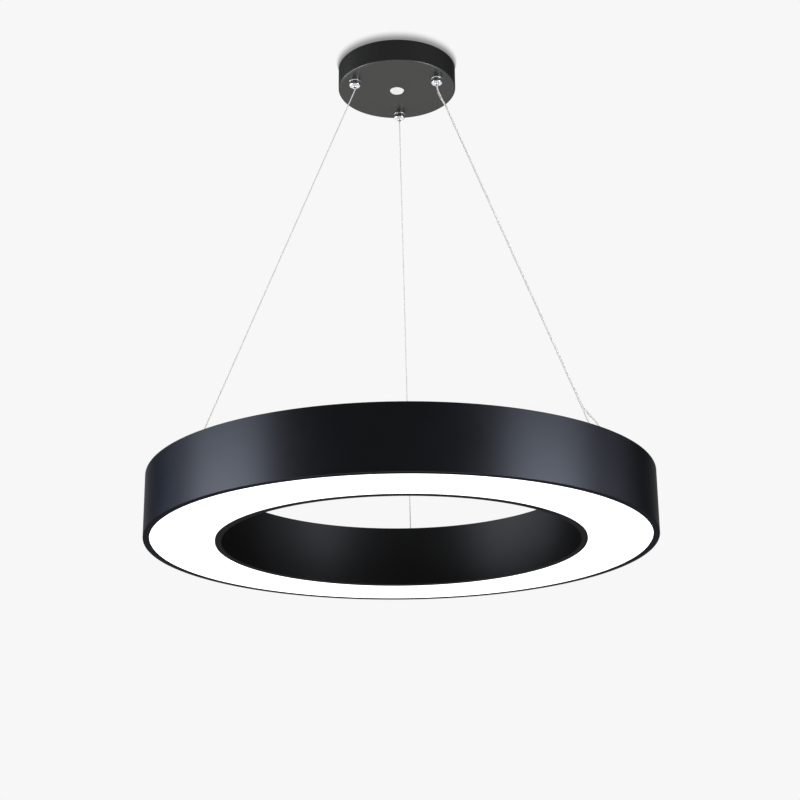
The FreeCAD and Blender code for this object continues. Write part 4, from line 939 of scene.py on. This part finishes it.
# The spring: a helix of constant radius. With s from -0.5 to 0.5 along it, its height over the middle is
# (0.82 + 0.72 * s ^ 2) * s of the whole, so its coils open towards the ends.
def makeSpring(side, spot):
    share = np.linspace(0, 1, spring["turns"] * spring["steps"])
    low, high = spring["low"] + spring["wire"], spring["high"] - spring["wire"]
    steady, opening = spring["climb"]
    climb = low + (high - low) * (0.5 + (share - 0.5) * (steady + opening * (share - 0.5) ** 2))
    meanRadius = (spring["inner"] + spring["outer"]) / 2
    line = roundGrid(meanRadius, share * spring["turns"] * 2 * np.pi, climb, (spot[0], spot[1], 0))
    frames = framesAlong(line, np.array([0.0, 0.0, 1.0]))
    piece = build(f"releaseSpring_{side}", [tubeAlong(line, *frames, spring["wire"], spring["columns"])],
                  springWire, "canopy", "spring_steel", f"release_spring_{side}", sharp=80)
    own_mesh(piece)


for side, degrees in sides.items():
    gripperFoot = polar(gripper["place"], degrees, -cup["height"])
    turnedPiece(f"gripperBarrel_{side}", barrel, [gripperFoot], chromePlate, "canopy", "chrome",
                f"gripper_barrel_{side}")
    makeStem(side, gripperFoot)
    makeSpring(side, gripperFoot)
    settle(roundedCopy(f"releaseNozzle_{side}", f"release_nozzle_{side}", gripper["nozzleRound"]),
           chromePlate, f"release_{side}", "chrome", f"release_nozzle_{side}")
    dress(f"gripper_balls_{side}", springWire)
print("grippers made")


# What holds the grippers and the cable in the canopy's floor

washer = {
    "sheet": 1 * mm,
    "corners": [(5.2, 0, 0.15), (8, 0, 0.25), (8, 1, 0.25), (5.2, 1, 0.15)],
    "columns": 72,
}
nut = {
    "reach": 8.1 * mm,
    "bore": 5.0 * mm,
    "height": 4 * mm,
    "cornerShare": 0.985,       # of the flat's distance, where the cone meets the end faces
    "coneSlope": 1.732,
    "columns": 144,
}
bush = {
    "corners": [(1.35, -1, 0.2), (3, -1, 0.4), (3.6, 0, 0.25), (2.4, 0), (2.4, 1.2), (3.6, 1.2, 0.25),
                (3.6, 2.2, 0.35), (1.35, 2.2, 0.2)],
    "columns": 72,
}


# A hexagon nut: its radius is the flat's distance / cos(angle to the flat), cut by a cone at both ends.
def hexNut(spot, turn):
    flat = nut["reach"] * np.cos(np.pi / 6)
    levelShares = np.array([0, 0, 0.05, 0.1, 0.16, 0.25, 0.5, 0.75, 0.84, 0.9, 0.95, 1, 1])
    level = levelShares[:, None] * nut["height"]
    angle = fullTurn(nut["columns"])[None, :]
    hexagon = flat / np.cos((angle + turn) % (np.pi / 3) - np.pi / 6)
    depth = np.minimum(level, nut["height"] - level)
    radius = np.minimum(hexagon, flat * nut["cornerShare"] + depth * nut["coneSlope"])
    radius[[0, -1]] = nut["bore"]
    return roundGrid(radius, angle, level, spot), True, True


gripperSpots = [polar(gripper["place"], degrees, cupFloor) for degrees in sides.values()]
turnedPiece("gripperWashers", washer, gripperSpots, zincPlate, "canopy", "zinc_plated_steel",
            "gripper_washers")
nuts = [hexNut(spot + (0, 0, washer["sheet"]), np.radians(degrees))
        for spot, degrees in zip(gripperSpots, sides.values())]
build("gripperNuts", nuts, zincPlate, "canopy", "zinc_plated_steel", "gripper_nuts", sharp=25)
turnedPiece("cableBush", bush, [bushSpot], blackRubber, "canopy", "black_rubber", "cable_grommet")
print("gripper nuts, washers and cable bush made")


# Supply side under the bracket and fittings in the ring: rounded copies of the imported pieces

# Name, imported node, round of its edges in millimetres, finish, body and slot
copies = [
    ("ceilingBracket", "ceiling_bracket", 0.25, zincPlate, "canopy", "zinc_plated_steel"),
    ("driverCase", "led_driver", 0.45, whitePlastic, "canopy", "white_plastic"),
    ("terminalBlock", "terminal_block", 0.3, blockPlastic, "canopy", "terminal_plastic"),
    ("driverConnector", "driver_connector", 0.3, whitePlastic, "canopy", "white_plastic"),
    ("earthScrew", "earth_screw", 0.2, brassMetal, "canopy", "brass"),
    ("crossBraces", "cross_braces", 0.2, zincPlate, "ring", "zinc_plated_steel"),
    ("ledTray", "led_tray", 0.15, bareAluminium, "ring", "bare_aluminium"),
    ("boardConnectors", "board_connectors", 0.2, whitePlastic, "ring", "white_plastic"),
    ("ringConnector", "ring_connector", 0.3, whitePlastic, "ring", "white_plastic"),
]
for copyName, node, edgeRound, material, body, slotName in copies:
    settle(roundedCopy(copyName, node, edgeRound * mm), material, body, slotName, node)

plainNodes = {
    "canopy_side_screws": paintedSteel, "bracket_screws": zincPlate, "terminal_screws": brassMetal,
    "wire_tail_stops": springWire, "tray_screws": zincPlate, "led_boards": boardMask,
    "led_chips": chipPhosphor, "anchor_nuts": zincPlate, "wire_end_ferrules": springWire,
    "gland_nut": blackPlastic,
}
for node, material in plainNodes.items():
    dress(node, material)
print("inner pieces dressed")


# Studio: pale surroundings, a floor, a disc of ceiling, a lamp overhead and soft boxes round the ring

studio = {
    "background": (0.93, 0.93, 0.93),
    "behindCamera": 0.10,       # share of the background that reflections show behind the camera
    "paleSide": (108, -25),     # azimuth and elevation where reflections show most of the background
    "paleFull": 1.1,            # the cosine to that side at which they would show all of it
    "floorColour": (0.90, 0.90, 0.90),
    "floorHeight": -2.9,
    "floorSize": 14.0,
    "floorClear": (1.6, 6.65),  # radii between which the floor fades into the background
    "boxTall": 0.40,
    "boxColour": (0.87, 0.92, 1.0),
    "boxDistance": 1.4,
    "overhead": (0.2, 0.9, 1.9),
    "overheadSize": 2.2,
    "overheadPower": 10,
    "ceilingRadius": 0.42,
    "ceilingHeight": 0.2 * mm,
    "ceilingGrid": (9, 96),
    "ceilingClear": (0.252, 0.42),        # radii between which it fades, as the floor does
    "shadeReach": 0.023,        # of the cup's soft shadow on the ceiling, towards the camera
    "shadeDepth": 0.70,
}
# Name, degrees from the camera's side (left is negative), height, width in metres and power in watts
softBoxes = (
    ("leftBox", -72, -0.445, 0.95, 8.4), ("rightBox", 58, -0.50, 0.85, 8.6),
    ("leftRimBox", -113, -0.42, 0.4, 2.3), ("rightRimBox", 95, -0.42, 0.4, 0.8),
    ("canopyRimBox", -100, 0.15, 0.5, 2.0),
)


# A stage material or world starts from an empty tree and ends with a surface.
def emptyTree(owner):
    owner.use_nodes = True
    owner.node_tree.nodes.clear()
    return Value(owner.node_tree)


def endTree(surface, kind):
    output = surface.tree.nodes.new(kind)
    surface.tree.links.new(surface.socket, output.inputs["Surface"])


# A stage sheet turns clear with the distance from the lamp's axis, and from its back.
def dressStage(sheet, name, clearRadii, makeSurface):
    material = bpy.data.materials.new(name)
    start = emptyTree(material)
    place = start.node("ShaderNodeTexCoord", output="Object")
    fade = smoothRange(fromAxis(place), *clearRadii)
    isBack = start.node("ShaderNodeNewGeometry", output="Backfacing")
    clear = start.node("ShaderNodeBsdfTransparent")
    endTree(start.node("ShaderNodeMixShader", None,
                       {0: fade.sum("MAXIMUM", fade, isBack), 1: makeSurface(place), 2: clear}),
            "ShaderNodeOutputMaterial")
    sheet.data.materials.append(material)


# The world: pale all round, also through clear things. Reflections see it darken towards the camera's side
# and upwards, as in a studio with black cloth there.
def makeWorld():
    world = bpy.data.worlds.new("studioWorld")
    bpy.context.scene.world = world
    start = emptyTree(world)
    azimuth, elevation = np.radians(studio["paleSide"])
    paleWay = (np.cos(elevation) * np.cos(azimuth), np.cos(elevation) * np.sin(azimuth), np.sin(elevation))
    direction = start.node("ShaderNodeTexCoord", output="Generated")
    share = smoothRange(alongWay(direction, paleWay), 0.0, studio["paleFull"], studio["behindCamera"])
    isCamera, isGlossy, isClear = (start.node("ShaderNodeLightPath", output=f"Is {ray} Ray")
                                   for ray in ("Camera", "Glossy", "Transmission"))
    seenPlain = isCamera.sum("MAXIMUM", isCamera, isClear)
    strength = isCamera.sum("MAXIMUM", seenPlain, 1 - isGlossy * (1 - share))
    endTree(start.node("ShaderNodeBackground", None,
                       {"Color": (*studio["background"], 1), "Strength": strength}), "ShaderNodeOutputWorld")


# The floor is pale and matt.
def makeFloor():
    half = studio["floorSize"] / 2
    mesh = bpy.data.meshes.new("studioFloor")
    mesh.from_pydata([(x, y, studio["floorHeight"]) for y in (-half, half) for x in (-half, half)], [],
                     [(0, 1, 3, 2)])
    colour = (*studio["floorColour"], 1)
    dressStage(linked("studioFloor", mesh), "floorPaint", studio["floorClear"],
               lambda place: place.node("ShaderNodeBsdfDiffuse", None, {"Color": colour}))


# The ceiling round the cup, seen from below only. It glows as the background does, less a painted soft shadow
# of the cup, which reaches shadeReach * cos(angle to the camera's side) beyond the cup.
def makeCeiling():
    rows, columns = studio["ceilingGrid"]
    radius = np.linspace(0, studio["ceilingRadius"], rows)[:, None]
    grid = roundGrid(radius, -fullTurn(columns)[None, :], studio["ceilingHeight"])
    ceiling = meshFromGrids("studioCeiling", [(grid, False, True)])
    ceiling.data.flip_normals()
    for ray in ("shadow", "diffuse", "glossy", "transmission"):
        setattr(ceiling, f"visible_{ray}", False)

    def glow(place):
        distance, forward = fromAxis(place), alongWay(place, polar(1, cameraSide))
        reach = studio["shadeReach"] * forward.sum("MAXIMUM", forward, mm)
        shade = smoothRange((distance - cup["radius"]) * distance / reach, 0.0, 1.0, 1 - studio["shadeDepth"])
        return place.node("ShaderNodeEmission", None,
                          {"Color": (*studio["background"], 1), "Strength": shade})

    dressStage(ceiling, "ceilingPaint", studio["ceilingClear"], glow)


def makeLight(name, spot, target, size, power, colour=(1, 1, 1)):
    lamp = bpy.data.lights.new(name, "AREA")
    lamp.shape = "RECTANGLE"
    lamp.size, lamp.size_y = size
    lamp.energy, lamp.color = power, colour
    aim = (Vector(spot) - Vector(target)).to_track_quat("Z", "Y")
    holder = linked(name, lamp)
    holder.matrix_world = Matrix.Translation(spot) @ aim.to_matrix().to_4x4()
    holder.visible_camera = False


def makeStudio():
    makeWorld()
    makeFloor()
    makeCeiling()
    ringMiddle = (0, 0, ring["bottom"] + ring["height"] / 2)
    for name, degrees, height, width, power in softBoxes:
        spot = polar(studio["boxDistance"], cameraSide + degrees, height)
        makeLight(name, spot, ringMiddle, (width, studio["boxTall"]), power, studio["boxColour"])
    overheadSize = (studio["overheadSize"], studio["overheadSize"])
    makeLight("overheadBox", studio["overhead"], (0, 0, ringTop), overheadSize, studio["overheadPower"])


makeStudio()
print("studio lit")

bpy.context.scene.view_settings.view_transform = "Standard"
